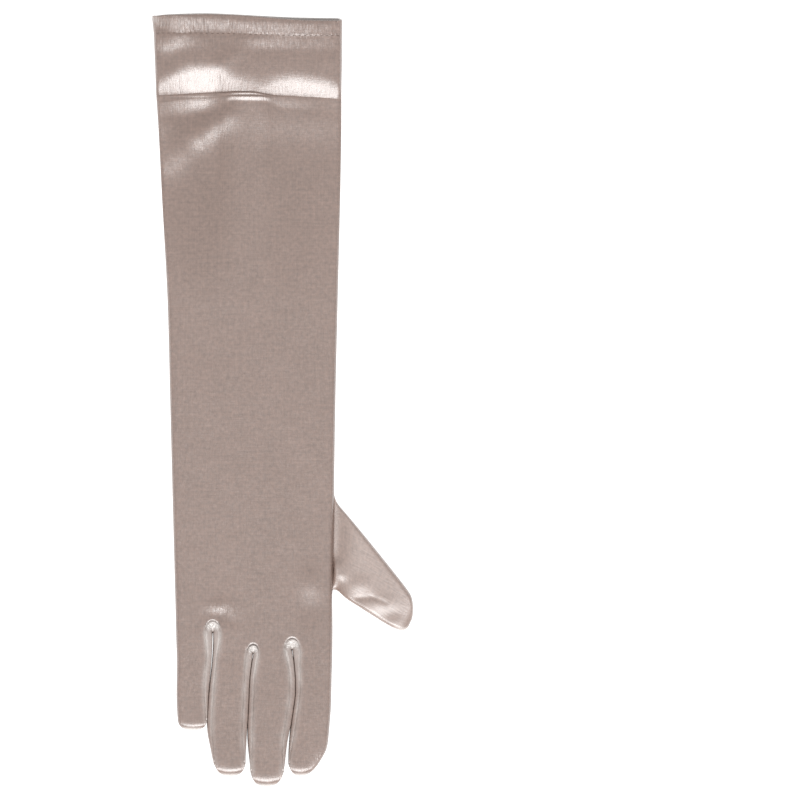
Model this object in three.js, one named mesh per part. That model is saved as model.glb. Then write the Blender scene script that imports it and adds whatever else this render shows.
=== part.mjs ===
// Long satin evening glove for the right hand, lying flat on its palm with the back up.
// Millimetres, +Z up. The cuff is towards +Y, the fingertips towards -Y and the thumb towards +X.
// The origin is on the surface that the glove lies on, below the middle of its outline.
//
// The cloth is worked out first as one skin: rows of points that run from the cuff to the tips.
// Each face of the skin belongs to the piece that it is cut from, and every piece is then given the
// thickness of its cloth and drawn back a little from the pieces that it is sewn to.

import * as THREE from "three";

// Cloth
const WALL = 1.0; // one layer of stretch satin
const HEM_WALL = 1.6; // two layers, where the cuff is turned in
const HEM_DEPTH = 11.4;
const HEM_GROOVE = { depth: 0.35, spread: 0.8 }; // where the hem's stitching pulls the back in
const SEAM_GAP = 0.3; // between two pieces that are sewn together
const SATIN = { color: 0xa39389, roughness: 0.38, metalness: 0.25 };

// Edges
const FOLD = 2.5; // how far an edge folds over before the layer lies flat
const FOLD_STEPS = 4; // faces round a fold, from the back to the palm
const FOLD_LEVEL = 0.5; // where a fold reaches furthest out, as a share of its height
const THUMB_LEVEL = 0.72; // the same above the thumb, which comes out under the fold
const CROWN = 0.6; // how much higher the back is in the middle than at its edges
const FINGER_COLUMNS = 3;
const CROTCH_COLUMNS = 4;

// The sleeve and the hand. "along" runs from the cuff edge to the fingertips. "left" and "right" are
// the outline, measured from the middle of the cuff, and "height" is how high the back lies.
const ARM = [
  { along: 0, left: -54.3, right: 54.3, height: 9.6 },
  { along: 11.4, left: -53.2, right: 53.9, height: 11.2 },
  { along: 29, left: -52.6, right: 53.8, height: 12.6 },
  { along: 46, left: -52.0, right: 53.5, height: 11.2 },
  { along: 62, left: -50.9, right: 53.6, height: 10.0 },
  { along: 106, left: -48.6, right: 52.9, height: 10.0 },
  { along: 163, left: -45.3, right: 51.5, height: 9.8 },
  { along: 220, left: -43.7, right: 50.1, height: 9.8 },
  { along: 276, left: -42.3, right: 49.3, height: 10.0 },
  { along: 329, left: -40.8, right: 48.2, height: 10.0 },
  { along: 350, left: -40.3, right: 48.5, height: 9.6 },
  { along: 400, left: -39.6, right: 48.2, height: 8.6 },
  { along: 441, left: -39.6, right: 46.5, height: 8.2 },
];
// The sleeve's rows of points: close together at the hem and at the packing crease.
const ARM_ROWS = [
  0, 10.4, 12.4, 20, 29, 36, 41, 44.2, 46.9, 49.6, 53, 59, 68, 84, 106, 140, 180, 222, 254,
];
const HAND_ROWS = [276, 289, 302, 316, 329]; // the thumb is sewn in between the first and the last
const KNUCKLE_SHARES = [0.4, 0.75, 1]; // of the way from the last hand row to the roots of the fingers

// The cuff edge and the folds of the back
const CUFF_DIP = { depth: 2.7, from: -25, to: 35 }; // the back's edge drops towards the thumb side
const CREASE = {
  along: 46.9,
  across: -5, // where it bows towards the cuff
  slant: 0.011,
  rise: 2.9, // how far it bows, and over what width
  reach: 14,
  depth: 3.2,
  spread: 2.6,
  pull: 12, // rows of points nearer than about this follow it
};
// Soft folds from one point to another, given across and along. "height" is negative for a dent.
const SOFT_FOLDS = [
  { from: [-14, 56], to: [-46, 92], width: 6, height: 0.9 },
  { from: [-4, 68], to: [-30, 100], width: 7, height: -0.7 },
  { from: [-40, 54], to: [-12, 52], width: 2.5, height: 0.5 },
  { from: [18, 54], to: [46, 55], width: 2.5, height: 0.4 },
  { from: [-19, 338], to: [-8, 342], width: 4, height: 0.5 },
  { from: [28, 343], to: [40, 336], width: 5, height: 0.4 },
];

// The fingers, from the outer edge of the hand to the thumb side. "end" is the tip's seam, and
// "endShare" is how much of the finger's width that seam has. The rows are like those of the arm.
const FINGERS = [
  {
    name: "little",
    end: 408,
    endShare: 0.62,
    sections: [
      { along: 349, left: -40.3, right: -20.0 },
      { along: 369, left: -40.0, right: -21.2 },
      { along: 386, left: -40.0, right: -22.6 },
      { along: 399, left: -39.6, right: -23.1 },
      { along: 408, left: -38.6, right: -23.5 },
    ],
  },
  {
    name: "ring",
    end: 435,
    endShare: 0.5,
    sections: [
      { along: 349, left: -19.2, right: 2.9 },
      { along: 369, left: -20.5, right: 2.4 },
      { along: 386, left: -21.9, right: 1.2 },
      { along: 409, left: -21.9, right: 0.4 },
      { along: 421, left: -19.7, right: -0.2 },
      { along: 435, left: -16.0, right: -1.0 },
    ],
  },
  {
    name: "middle",
    end: 440.5,
    endShare: 0.45,
    sections: [
      { along: 357, left: 3.5, right: 26.6 },
      { along: 375, left: 2.6, right: 27.8 },
      { along: 388, left: 1.9, right: 28.3 },
      { along: 402, left: 1.2, right: 25.7 },
      { along: 411, left: 1.3, right: 23.6 },
      { along: 428, left: 3.2, right: 21.6 },
      { along: 440.5, left: 4.3, right: 19.6 },
    ],
  },
  {
    name: "index",
    end: 434.5,
    endShare: 0.55,
    sections: [
      { along: 357, left: 27.2, right: 48.6 },
      { along: 375, left: 28.4, right: 48.6 },
      { along: 388, left: 28.9, right: 48.6 },
      { along: 402, left: 26.5, right: 48.1 },
      { along: 411, left: 25.0, right: 47.3 },
      { along: 418, left: 24.7, right: 46.4 },
      { along: 426, left: 24.4, right: 42.6 },
      { along: 434.5, left: 25.6, right: 38.4 },
    ],
  },
];
const FINGER_STEPS = 7; // rows from a finger's root to where its side strips end
const STRIP_SHORT_OF_TIP = 9; // the side strips end this far before the tip
const TIP_SHARES = [0.45, 0.75, 0.93, 1]; // rows round the tip, as shares of that distance
const TIP_LEVEL = 3.2; // how high the tip's seam lies
const FINGER_CROWN = 0.5;

// Where two fingers part: a strip of cloth, the fourchette, runs down one finger's side, round the
// crotch and up the next. "across" and "web" are where the slit begins, halfway up, and "seam" is the
// nearest point of the round seam on the back. "inset" is the strip's width seen from above there.
const CROTCHES = [
  { name: "fourchette_little_ring", across: -19.6, web: 352.6, seam: 345.0, inset: 4.8 },
  { name: "fourchette_ring_middle", across: 3.2, web: 363.4, seam: 358.0, inset: 3.7 },
  { name: "fourchette_middle_index", across: 26.9, web: 362.3, seam: 355.2, inset: 5.1 },
];
const STRIP_INSET = 2.7; // the strip's width seen from above, along the fingers
const STRIP_NARROWS = 16; // it narrows to that over this length
const WEB_ROUND = { across: 0.32, along: 0.8 }; // the slit's rounded end

// The thumb. "near" is the edge towards the cuff and "far" the edge towards the fingers, each given
// across and along. The first row lies under the fold of the hand, and the last is the tip's seam.
const THUMB = [
  { near: [52.2, 280.4], far: [51.4, 327.8], height: 6.6 },
  { near: [61.7, 292.0], far: [57.0, 332.2], height: 7.2 },
  { near: [73.7, 306.9], far: [64.6, 338.3], height: 7.8 },
  { near: [85.1, 321.7], far: [74.3, 344.3], height: 7.6 },
  { near: [90.4, 328.6], far: [80.4, 348.0], height: 7.2 },
  { near: [93.4, 334.6], far: [85.6, 351.0], height: 6.2 },
  { near: [94.4, 338.4], far: [88.6, 351.8], height: 4.6 },
  { near: [94.0, 342.6], far: [91.0, 349.6], height: 3.0 },
];
const THUMB_FOLD = 2.2; // how far its edges fold over
const THUMB_FOLD_SHARE = 0.3; // or this share of its width, where that is less
const THUMB_SIDE_STEPS = 3; // faces down each side of the thumb

const { clamp, lerp } = THREE.MathUtils;
const smooth = (low, high, value) => THREE.MathUtils.smoothstep(value, low, high);
const bump = (distance, width) => Math.exp(-((distance / width) ** 2));

// A column of a table at any place along it, on a smooth curve through its rows.
function sample(table, along, column) {
  const last = table.length - 1;
  let i = 0;
  while (i < last - 1 && along > table[i + 1].along) i++;
  const [a, b] = [table[i], table[i + 1]];
  const before = table[Math.max(i - 1, 0)];
  const after = table[Math.min(i + 2, last)];
  const span = b.along - a.along;
  const t = clamp((along - a.along) / span, 0, 1);
  const slopeA = ((b[column] - before[column]) / (b.along - before.along)) * span;
  const slopeB = ((after[column] - a[column]) / (after.along - a.along)) * span;
  const [t2, t3] = [t * t, t * t * t];
  return (
    a[column] * (2 * t3 - 3 * t2 + 1) +
    slopeA * (t3 - 2 * t2 + t) +
    b[column] * (3 * t2 - 2 * t3) +
    slopeB * (t3 - t2)
  );
}

// How far the packing crease lies along the sleeve, at a place across it.
function creaseAlong(across) {
  const bow = CREASE.rise * bump(across - CREASE.across, CREASE.reach);
  return CREASE.along + CREASE.slant * across - bow;
}

// A soft fold's height at a point: full along its line, and fading to its sides and past its ends.
function softFold({ from, to, width, height }, across, along) {
  const line = new THREE.Line3(new THREE.Vector3(...from), new THREE.Vector3(...to));
  const point = new THREE.Vector3(across, along, 0);
  const nearest = line.closestPointToPoint(point, true, new THREE.Vector3());
  return height * bump(point.distanceTo(nearest), width);
}

// The height of the glove's back at any point.
function backHeight(across, along) {
  const left = sample(ARM, along, "left");
  const right = sample(ARM, along, "right");
  const fromMiddle = (2 * across - left - right) / (right - left);
  const crease = CREASE.depth * bump(along - creaseAlong(across), CREASE.spread);
  const hem = HEM_GROOVE.depth * bump(along - HEM_DEPTH, HEM_GROOVE.spread);
  const folds = SOFT_FOLDS.reduce((sum, fold) => sum + softFold(fold, across, along), 0);
  return sample(ARM, along, "height") - CROWN * fromMiddle ** 2 - crease - hem + folds;
}

const place = (across, along, height) => new THREE.Vector3(across, -along, height);

// Points round a folded edge, from the back's seam or fold line down to the palm's, by way of the
// outermost point halfway up. Seam and outermost point are given across and along.
function foldOver(seam, outermost, top, level, bottom = 0, steps = FOLD_STEPS) {
  const middle = lerp(bottom, top, level);
  return Array.from({ length: steps + 1 }, (_, i) => {
    const angle = (Math.PI * i) / steps;
    const reach = Math.sin(angle);
    const rise = Math.cos(angle);
    return place(
      lerp(seam[0], outermost[0], reach),
      lerp(seam[1], outermost[1], reach),
      middle + rise * (rise > 0 ? top - middle : middle - bottom),
    );
  });
}

// The skin of the whole glove. Points that coincide are one, and each face knows its piece.
class Skin {
  points = [];
  faces = [];
  #known = new Map();

  point(p) {
    const key = [p.x, p.y, p.z].map((value) => value.toFixed(3)).join();
    if (!this.#known.has(key)) this.#known.set(key, this.points.push(p) - 1);
    return this.#known.get(key);
  }

  // Faces between rows of points. Rows run away from the cuff, and the points of a row go round it
  // anticlockwise, seen from the cuff.
  patch(piece, rows) {
    for (let i = 1; i < rows.length; i++) {
      for (let j = 1; j < rows[i].length; j++) {
        const corners = [rows[i - 1][j - 1], rows[i][j - 1], rows[i][j], rows[i - 1][j]];
        const ring = [...new Set(corners.map((corner) => this.point(corner)))];
        for (let k = 2; k < ring.length; k++) {
          this.faces.push({ piece, ring: [ring[0], ring[k - 1], ring[k]] });
        }
      }
    }
  }

  // The unit normal of every point, from all the faces that meet there.
  normals() {
    const sums = this.points.map(() => new THREE.Vector3());
    for (const { ring } of this.faces) {
      const [a, b, c] = ring.map((index) => this.points[index]);
      const normal = b.clone().sub(a).cross(c.clone().sub(a));
      ring.forEach((index) => sums[index].add(normal));
    }
    return sums.map((sum) => sum.normalize());
  }
}

const skin = new Skin();
const CREASE_OUTLINE = ARM.find((row) => row.along > CREASE.along);

// The columns of points across the back and the palm. Each has its place as a share of the flat back,
// and the place of its root, where the hand ends and a finger or the round end of a slit begins.
function makeColumns() {
  const rootOf = (crotch) => crotch.seam + crotch.inset;
  const left = sample(ARM, rootOf(CROTCHES[0]), "left") + FOLD;
  const right = sample(ARM, rootOf(CROTCHES.at(-1)), "right") - FOLD;
  const columns = [];
  FINGERS.forEach((_, finger) => {
    const [before, after] = [CROTCHES[finger - 1], CROTCHES[finger]];
    const start = before ? before.across + before.inset : left;
    const stop = after ? after.across - after.inset : right;
    for (let i = 0; i <= FINGER_COLUMNS; i++) {
      const t = i / FINGER_COLUMNS;
      const root = lerp(rootOf(before ?? after), rootOf(after ?? before), t);
      columns.push({ finger, across: lerp(start, stop, t), root });
    }
    if (!after) return;
    for (let i = 1; i < CROTCH_COLUMNS; i++) {
      const angle = Math.PI * (1 - i / CROTCH_COLUMNS);
      const across = after.across + after.inset * Math.cos(angle);
      const root = rootOf(after) - after.inset * Math.sin(angle);
      columns.push({ crotch: finger, angle, across, root });
    }
  });
  return columns.map((column) => ({ ...column, share: (column.across - left) / (right - left) }));
}

const COLUMNS = makeColumns();
const HAND_START = HAND_ROWS[0];
const HAND_END = HAND_ROWS.at(-1);

// The points right round the sleeve or the hand. "alongBack" and "alongPalm" say how far along each
// column's point lies on the back and on the palm.
function armRow(alongBack, alongPalm = alongBack) {
  const sheet = (alongOf, heightOf) =>
    COLUMNS.map((column) => {
      const along = alongOf(column);
      const [left, right] = [sample(ARM, along, "left") + FOLD, sample(ARM, along, "right") - FOLD];
      const across = lerp(left, right, column.share);
      return place(across, along, heightOf(across, along));
    });
  const back = sheet(alongBack, backHeight);
  const palm = sheet(alongPalm, () => 0);
  const side = (top, bottom, column) => {
    const outline = sample(ARM, -top.y, column);
    const overThumb = column === "right" && -top.y > HAND_START - 1 && -top.y < HAND_END + 1;
    const level = overThumb ? THUMB_LEVEL : FOLD_LEVEL;
    const fold = foldOver([top.x, -top.y], [outline, -top.y], top.z, level);
    fold.forEach((p, i) => p.setY(lerp(top.y, bottom.y, i / FOLD_STEPS)));
    return [...fold.slice(0, -1), bottom];
  };
  return {
    back,
    right: side(back.at(-1), palm.at(-1), "right"),
    palm: palm.toReversed(),
    left: side(back[0], palm[0], "left").toReversed(),
  };
}

// The rows near the packing crease follow it, and the first row follows the cuff's edge.
function sleeveRow(row) {
  const alongBack = ({ share }) => {
    const across = lerp(CREASE_OUTLINE.left, CREASE_OUTLINE.right, share);
    const follow = (creaseAlong(across) - CREASE.along) * bump(row - CREASE.along, CREASE.pull);
    const inHem = Math.max(0, 1 - row / HEM_DEPTH);
    const dip = CUFF_DIP.depth * smooth(CUFF_DIP.from, CUFF_DIP.to, across) * inHem;
    return row + follow + dip;
  };
  return armRow(alongBack, () => row);
}

// The sleeve and the hand, with a hole in the edge of the palm for the thumb. Gives back the hand's
// rows beside the hole, and its last row, where the fingers begin.
function addArm() {
  const sleeve = ARM_ROWS.map(sleeveRow);
  const hand = HAND_ROWS.map((row) => armRow(() => row));
  const knuckles = KNUCKLE_SHARES.map((share) => armRow(({ root }) => lerp(HAND_END, root, share)));
  const whole = ({ back, right, palm, left }) => [...back, ...right, ...palm, ...left];
  skin.patch("trank", [...sleeve, hand[0]].map(whole));
  skin.patch("trank", [hand.at(-1), ...knuckles].map(whole));
  const besideHole = ({ back, right, palm, left }) => [
    ...palm.slice(1),
    ...left,
    ...back,
    ...right.slice(0, FOLD_STEPS / 2 + 1),
  ];
  skin.patch("trank", hand.map(besideHole));
  return { hand, roots: knuckles.at(-1) };
}

// How wide a side strip is, seen from above, at a place along a finger.
function stripInset(crotch, along) {
  const root = crotch.seam + crotch.inset;
  return lerp(crotch.inset, STRIP_INSET, smooth(root, root + STRIP_NARROWS, along));
}

// One side of a finger's first row: from the seam on the back to the one on the palm, round the slit.
function rootSide(crotch, top, bottom, direction) {
  const outermost = [crotch.across + direction * WEB_ROUND.across, crotch.web + WEB_ROUND.along];
  const fold = foldOver([top.x, -top.y], outermost, top.z, FOLD_LEVEL);
  return [...fold.slice(0, -1), bottom];
}

// The row of points round a finger at its root, taken from the hand's last row.
function rootRow(f, roots) {
  const own = COLUMNS.map((column, i) => (column.finger === f ? i : -1)).filter((i) => i >= 0);
  const back = own.map((i) => roots.back[i]);
  const palm = own.map((i) => roots.palm.at(-1 - i)).toReversed();
  const [before, after] = [CROTCHES[f - 1], CROTCHES[f]];
  return {
    back,
    right: after ? rootSide(after, back.at(-1), palm[0], -1) : roots.right,
    palm,
    left: before ? rootSide(before, back[0], palm.at(-1), 1).toReversed() : roots.left,
  };
}

// The row of points round a finger some steps from its root.
function fingerRow(f, step) {
  const { sections, end, endShare } = FINGERS[f];
  const toEnd = Math.min(step / FINGER_STEPS, 1);
  const tip = step > FINGER_STEPS ? TIP_SHARES[step - FINGER_STEPS - 1] : 0;
  const narrow = lerp(1, endShare, tip ** 3);
  const flat = Math.sqrt(1 - tip ** 2);
  const alongFrom = (root) => lerp(lerp(root, end - STRIP_SHORT_OF_TIP, toEnd), end, tip);
  const side = (crotch, neighbour, column, inwards) => {
    const { seam, inset, web } = crotch ?? neighbour;
    const along = alongFrom(seam + inset);
    const outerAlong = crotch ? alongFrom(web + WEB_ROUND.along) : along;
    const middle = (sample(sections, outerAlong, "left") + sample(sections, outerAlong, "right")) / 2;
    const outline = lerp(middle, sample(sections, outerAlong, column), narrow);
    const width = (crotch ? stripInset(crotch, along) : FOLD) * narrow * flat;
    return { seam: [outline + inwards * width, along], outermost: [outline, outerAlong] };
  };
  const [before, after] = [CROTCHES[f - 1], CROTCHES[f]];
  const left = side(before, after, "left", 1);
  const right = side(after, before, "right", -1);
  const sheet = (heightOf) =>
    Array.from({ length: FINGER_COLUMNS + 1 }, (_, i) => {
      const t = i / FINGER_COLUMNS;
      const across = lerp(left.seam[0], right.seam[0], t);
      const along = lerp(left.seam[1], right.seam[1], t);
      const crown = FINGER_CROWN * toEnd * (2 * t - 1) ** 2;
      return place(across, along, lerp(TIP_LEVEL, heightOf(across, along, crown), flat));
    });
  const back = sheet((across, along, crown) => backHeight(across, along) - crown);
  const palm = sheet(() => 0).toReversed();
  const fold = ({ seam, outermost }, top, bottom) =>
    foldOver(seam, outermost, top.z, FOLD_LEVEL, bottom.z);
  return {
    back,
    right: fold(right, back.at(-1), palm[0]),
    palm,
    left: fold(left, back[0], palm.at(-1)).toReversed(),
  };
}

// A finger from root to tip. Its back, palm, tip and outer side are cut in one with the hand. Gives
// back the rows whose sides the strips fill.
function addFinger(f, roots) {
  const rows = [rootRow(f, roots)];
  for (let step = 1; step <= FINGER_STEPS + TIP_SHARES.length; step++) rows.push(fingerRow(f, step));
  const tip = rows.slice(FINGER_STEPS);
  skin.patch("trank", rows.map((row) => row.back));
  skin.patch("trank", rows.map((row) => row.palm));
  skin.patch("trank", (CROTCHES[f] ? tip : rows).map((row) => row.right));
  skin.patch("trank", (CROTCHES[f - 1] ? tip : rows).map((row) => row.left));
  return rows.slice(0, FINGER_STEPS + 1);
}

// The strip between two fingers: up one finger's side, round the slit's end and down the next one's.
function addFourchette(c, fingers, roots) {
  const crotch = CROTCHES[c];
  const before = fingers[c].map((row) => row.right.toReversed()).toReversed();
  const after = fingers[c + 1].map((row) => row.left);
  const round = [];
  COLUMNS.forEach((column, i) => {
    if (column.crotch !== c) return;
    const [top, bottom] = [roots.back[i], roots.palm.at(-1 - i)];
    const across = crotch.across + WEB_ROUND.across * Math.cos(column.angle);
    const along = crotch.web + WEB_ROUND.along * (1 - Math.sin(column.angle));
    const fold = foldOver([top.x, -top.y], [across, along], top.z, FOLD_LEVEL);
    round.push([...fold.slice(0, -1), bottom].toReversed());
  });
  skin.patch(crotch.name, [...before, ...round, ...after]);
}

// The row of points round the thumb's hole in the hand. It starts on the back, at the fingers' end.
function holeRow(hand) {
  const under = FOLD_STEPS / 2;
  const side = (row) => row.right.slice(under + 1);
  return [
    ...hand.map((row) => row.right[under]).toReversed(),
    ...side(hand[0]),
    ...hand.map((row) => row.palm[1]),
    ...side(hand.at(-1)).toReversed(),
  ];
}

// A row of points round the thumb, in step with the hole's.
function thumbRow({ near, far, height }, isSeam) {
  const across = Math.hypot(far[0] - near[0], far[1] - near[1]);
  const fold = isSeam ? 0 : Math.min(THUMB_FOLD / across, THUMB_FOLD_SHARE);
  const lift = isSeam ? height : 0;
  const at = (share) => [lerp(far[0], near[0], share), lerp(far[1], near[1], share)];
  const last = HAND_ROWS.length - 1;
  const back = HAND_ROWS.map((_, i) => at(lerp(fold, 1 - fold, i / last)));
  const side = (seam, outermost) =>
    foldOver(seam, outermost, height, FOLD_LEVEL, lift, THUMB_SIDE_STEPS).slice(1, -1);
  return [
    ...back.map((p) => place(...p, height)),
    ...side(back.at(-1), at(1)),
    ...back.map((p) => place(...p, lift)).toReversed(),
    ...side(back[0], at(0)).toReversed(),
  ];
}

function addThumb(hand) {
  const rows = [holeRow(hand), ...THUMB.map((row, i) => thumbRow(row, i === THUMB.length - 1))];
  skin.patch("thumb", rows.map((row) => [...row, row[0]]));
}

// The thickness of a piece's cloth at a point. The cuff is turned in, so it is thicker.
function wallAt(piece, point) {
  return piece === "trank" && -point.y < HEM_DEPTH ? HEM_WALL : WALL;
}

// The sides of a piece's faces that no other face of it shares.
function edgesOf(faces) {
  const directed = new Set();
  const sides = faces.flatMap(({ ring }) => ring.map((a, i) => [a, ring[(i + 1) % ring.length]]));
  for (const [a, b] of sides) directed.add(`${a},${b}`);
  return sides.filter(([a, b]) => !directed.has(`${b},${a}`));
}

// A piece's solid: its outside, its inside and the cut edges between them. Where another piece is
// sewn on, the edge is drawn back.
function solidOf(piece, normals) {
  const faces = skin.faces.filter((face) => face.piece === piece);
  const edges = edgesOf(faces);
  const shared = new Set(skin.faces.filter((face) => face.piece !== piece).flatMap(({ ring }) => ring));
  const onEdge = new Set(edges.flat());
  const inwards = new Map();
  for (const { ring } of faces) {
    const centre = ring.reduce((sum, i) => sum.add(skin.points[i]), new THREE.Vector3()).divideScalar(3);
    for (const i of ring) {
      if (!onEdge.has(i) || !shared.has(i)) continue;
      const step = centre.clone().sub(skin.points[i]).normalize();
      inwards.set(i, (inwards.get(i) ?? new THREE.Vector3()).add(step));
    }
  }
  const along = new Map();
  for (const [a, b] of edges) {
    const step = skin.points[b].clone().sub(skin.points[a]).normalize();
    for (const i of [a, b]) along.set(i, (along.get(i) ?? new THREE.Vector3()).add(step));
  }
  const positions = [];
  const numbers = new Map();
  for (const i of new Set(faces.flatMap(({ ring }) => ring))) {
    const outside = skin.points[i].clone();
    if (inwards.has(i)) {
      const direction = inwards.get(i).clone().projectOnPlane(normals[i]);
      direction.projectOnPlane(along.get(i).clone().normalize()).setLength(SEAM_GAP / 2);
      outside.add(direction);
    }
    const inside = outside.clone().addScaledVector(normals[i], -wallAt(piece, outside));
    numbers.set(i, positions.length / 3);
    positions.push(...outside.toArray(), ...inside.toArray());
  }
  const outer = (i) => numbers.get(i);
  const inner = (i) => numbers.get(i) + 1;
  const triangles = faces.flatMap(({ ring: [a, b, c] }) => [
    outer(a), outer(b), outer(c),
    inner(a), inner(c), inner(b),
  ]);
  // Both pieces at a seam split its faces the same way, so that they keep their gap.
  for (const [a, b] of edges) {
    if (a < b) triangles.push(outer(b), outer(a), inner(a), outer(b), inner(a), inner(b));
    else triangles.push(outer(b), outer(a), inner(b), outer(a), inner(a), inner(b));
  }
  const geometry = new THREE.BufferGeometry();
  geometry.setAttribute("position", new THREE.Float32BufferAttribute(positions, 3));
  geometry.setIndex(triangles);
  geometry.computeVertexNormals();
  return geometry;
}

const { hand, roots } = addArm();
const fingers = FINGERS.map((_, f) => addFinger(f, roots));
CROTCHES.forEach((_, c) => addFourchette(c, fingers, roots));
addThumb(hand);

const glove = new THREE.Group();
glove.name = "glove";
const normals = skin.normals();
for (const piece of ["trank", "thumb", ...CROTCHES.map(({ name }) => name)]) {
  const mesh = new THREE.Mesh(solidOf(piece, normals), new THREE.MeshStandardMaterial(SATIN));
  mesh.name = piece;
  glove.add(mesh);
}
const box = new THREE.Box3().setFromPoints(skin.points);
const centre = box.getCenter(new THREE.Vector3());
glove.position.set(-centre.x, -centre.y, -box.min.z);

export default glove;
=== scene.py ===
"""Long satin evening glove for the right hand, lying flat on its palm with the back up.

The cuff is towards +Y, the fingertips towards -Y and the thumb towards +X. The cloth is worked out
as one skin of points, like a sewing pattern laid round a very thin arm. It is smoothed, folded and
creased as one surface, then cut apart along its seams, and each piece gets the thickness of satin.
"""
import math

import bmesh
import bpy
import numpy as np
from bpy.props import FloatProperty, FloatVectorProperty, PointerProperty
from mathutils import Matrix, Vector, kdtree, noise
from mathutils.bvhtree import BVHTree


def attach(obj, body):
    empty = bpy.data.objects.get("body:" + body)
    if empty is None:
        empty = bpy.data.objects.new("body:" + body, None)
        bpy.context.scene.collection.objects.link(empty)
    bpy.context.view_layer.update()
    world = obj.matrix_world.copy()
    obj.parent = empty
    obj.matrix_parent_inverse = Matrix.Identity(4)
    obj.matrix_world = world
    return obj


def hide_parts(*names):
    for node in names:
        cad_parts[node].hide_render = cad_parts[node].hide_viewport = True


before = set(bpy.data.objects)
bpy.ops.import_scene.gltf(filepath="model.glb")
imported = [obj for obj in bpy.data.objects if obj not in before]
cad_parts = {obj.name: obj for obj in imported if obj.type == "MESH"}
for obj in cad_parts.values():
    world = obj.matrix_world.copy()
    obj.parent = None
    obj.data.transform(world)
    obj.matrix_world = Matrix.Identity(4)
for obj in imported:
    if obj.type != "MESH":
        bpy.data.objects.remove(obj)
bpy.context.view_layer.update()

bl_info = {
    "name": "Long Satin Glove",
    "version": (1, 0, 0),
    "blender": (4, 5, 0),
    "location": "View3D > Sidebar > Glove",
    "description": "A long satin evening glove, lying flat with its back up",
    "category": "Object",
}

MM = 0.001  # the pattern's tables are in millimetres, as a glove maker's are

# The sleeve and the hand, from the cuff's edge down. Left and right are measured from the middle of
# the cuff, and level is how high the back of the glove lies.
ARM = {
    "along": (0, 11.4, 20, 29, 46, 58, 72, 106, 163, 220, 276, 329, 350, 400, 441),
    "left": (
        -54.7, -53.3, -52.9, -52.5, -51.9, -51.1, -50.2, -48.5,
        -45.4, -43.9, -42.5, -41.1, -40.6, -40.1, -39.8,
    ),
    "right": (54.8, 54.5, 54.4, 54.4, 54.1, 54.1, 54.0, 53.4, 52.0, 50.7, 49.8, 48.8, 49.0, 48.6, 47.0),
    "level": (10.0, 10.4, 10.9, 11.25, 10.9, 10.1, 10.2, 10.1, 9.9, 9.8, 9.7, 9.6, 9.6, 9.9, 10.2),
}
HAND_START, HAND_END = 276, 329  # the thumb is sewn in between them

# The four fingers, from the outer edge of the hand to the thumb side, like the rows of the arm.
# Tip is where the finger's end is sewn shut, and round the length over which its outline rounds off.
# Further down f counts the fingers, and c the crotches and the strips in them.
FINGERS = (
    {
        "tip": 410.2, "round": 6.0,
        "along": (349, 358, 370, 380, 391, 402, 409.2),
        "left": (-40.6, -40.4, -40.0, -40.1, -40.2, -39.7, -39.0),
        "right": (-19.4, -19.6, -20.1, -21.0, -21.95, -22.65, -22.9),
    },
    {
        "tip": 436.5, "round": 8.0,
        "along": (349, 358, 370, 380, 391, 402, 410, 415, 421, 427, 430, 435.8),
        "left": (-19.2, -19.25, -19.85, -21.0, -22.1, -22.75, -22.8, -22.0, -20.6, -19.5, -18.6, -17.4),
        "right": (4.4, 3.8, 2.85, 1.65, 1.15, 0.65, 0.15, -0.15, -0.6, -0.85, -0.95, -1.2),
    },
    {
        "tip": 442.4, "round": 9.0,
        "along": (357, 363, 370, 380, 390, 397, 407, 412, 415, 421, 427, 432, 441),
        "left": (3.7, 3.3, 2.65, 1.45, 1.0, 0.7, 0.2, 0.2, 0.3, 0.8, 1.45, 1.95, 2.7),
        "right": (25.6, 26.1, 26.75, 27.6, 27.6, 26.6, 25.15, 24.0, 23.3, 22.5, 21.85, 21.1, 19.8),
    },
    {
        "tip": 436.4, "round": 7.5,
        "along": (357, 363, 370, 380, 390, 397, 407, 412, 415, 421, 427, 430, 435.2),
        "left": (25.4, 25.9, 26.55, 27.4, 27.4, 26.4, 25.0, 24.35, 24.15, 23.8, 23.6, 23.9, 24.6),
        "right": (48.9, 48.9, 48.8, 48.5, 48.3, 48.1, 47.3, 46.9, 46.6, 45.6, 42.2, 40.3, 37.0),
    },
)

# Where two fingers part. Web is where the slit begins, halfway up, seam the nearest point of the
# round seam on the back, and inset the strip's width there, seen from above.
CROTCHES = (
    {"name": "fourchette_little_ring", "across": -19.4, "web": 354.2, "seam": 346.8, "inset": 4.4},
    {"name": "fourchette_ring_middle", "across": 3.6, "web": 366.0, "seam": 360.7, "inset": 3.5},
    {"name": "fourchette_middle_index", "across": 25.9, "web": 364.0, "seam": 357.1, "inset": 4.6},
)

# The pieces by number. The strips follow on from the first one, in the order of the crotches.
TRANK, THUMB, FIRST_STRIP = 0, 1, 2
STRIPS = [FIRST_STRIP + c for c in range(len(CROTCHES))]

# The thumb from its hole to its tip, at numbered places. Near is its edge towards the cuff, far the
# one towards the fingers, and level is its height.
THUMB_ROWS = {
    "along": (0, 1, 2, 3, 4, 5, 6, 7, 8),
    "near_across": (52.2, 62.2, 74.3, 85.7, 91.0, 93.9, 94.9, 94.9, 94.2),
    "near_along": (280.9, 292.6, 307.4, 321.7, 328.6, 333.1, 337.9, 343.2, 347.0),
    "far_across": (51.4, 57.0, 64.3, 73.5, 79.5, 84.5, 87.8, 90.3, 92.4),
    "far_along": (329.8, 334.9, 339.6, 345.5, 349.2, 351.8, 352.9, 352.5, 350.8),
    "level": (4.7, 7.2, 7.8, 7.6, 7.2, 6.7, 6.0, 5.0, 3.6),
}

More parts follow.
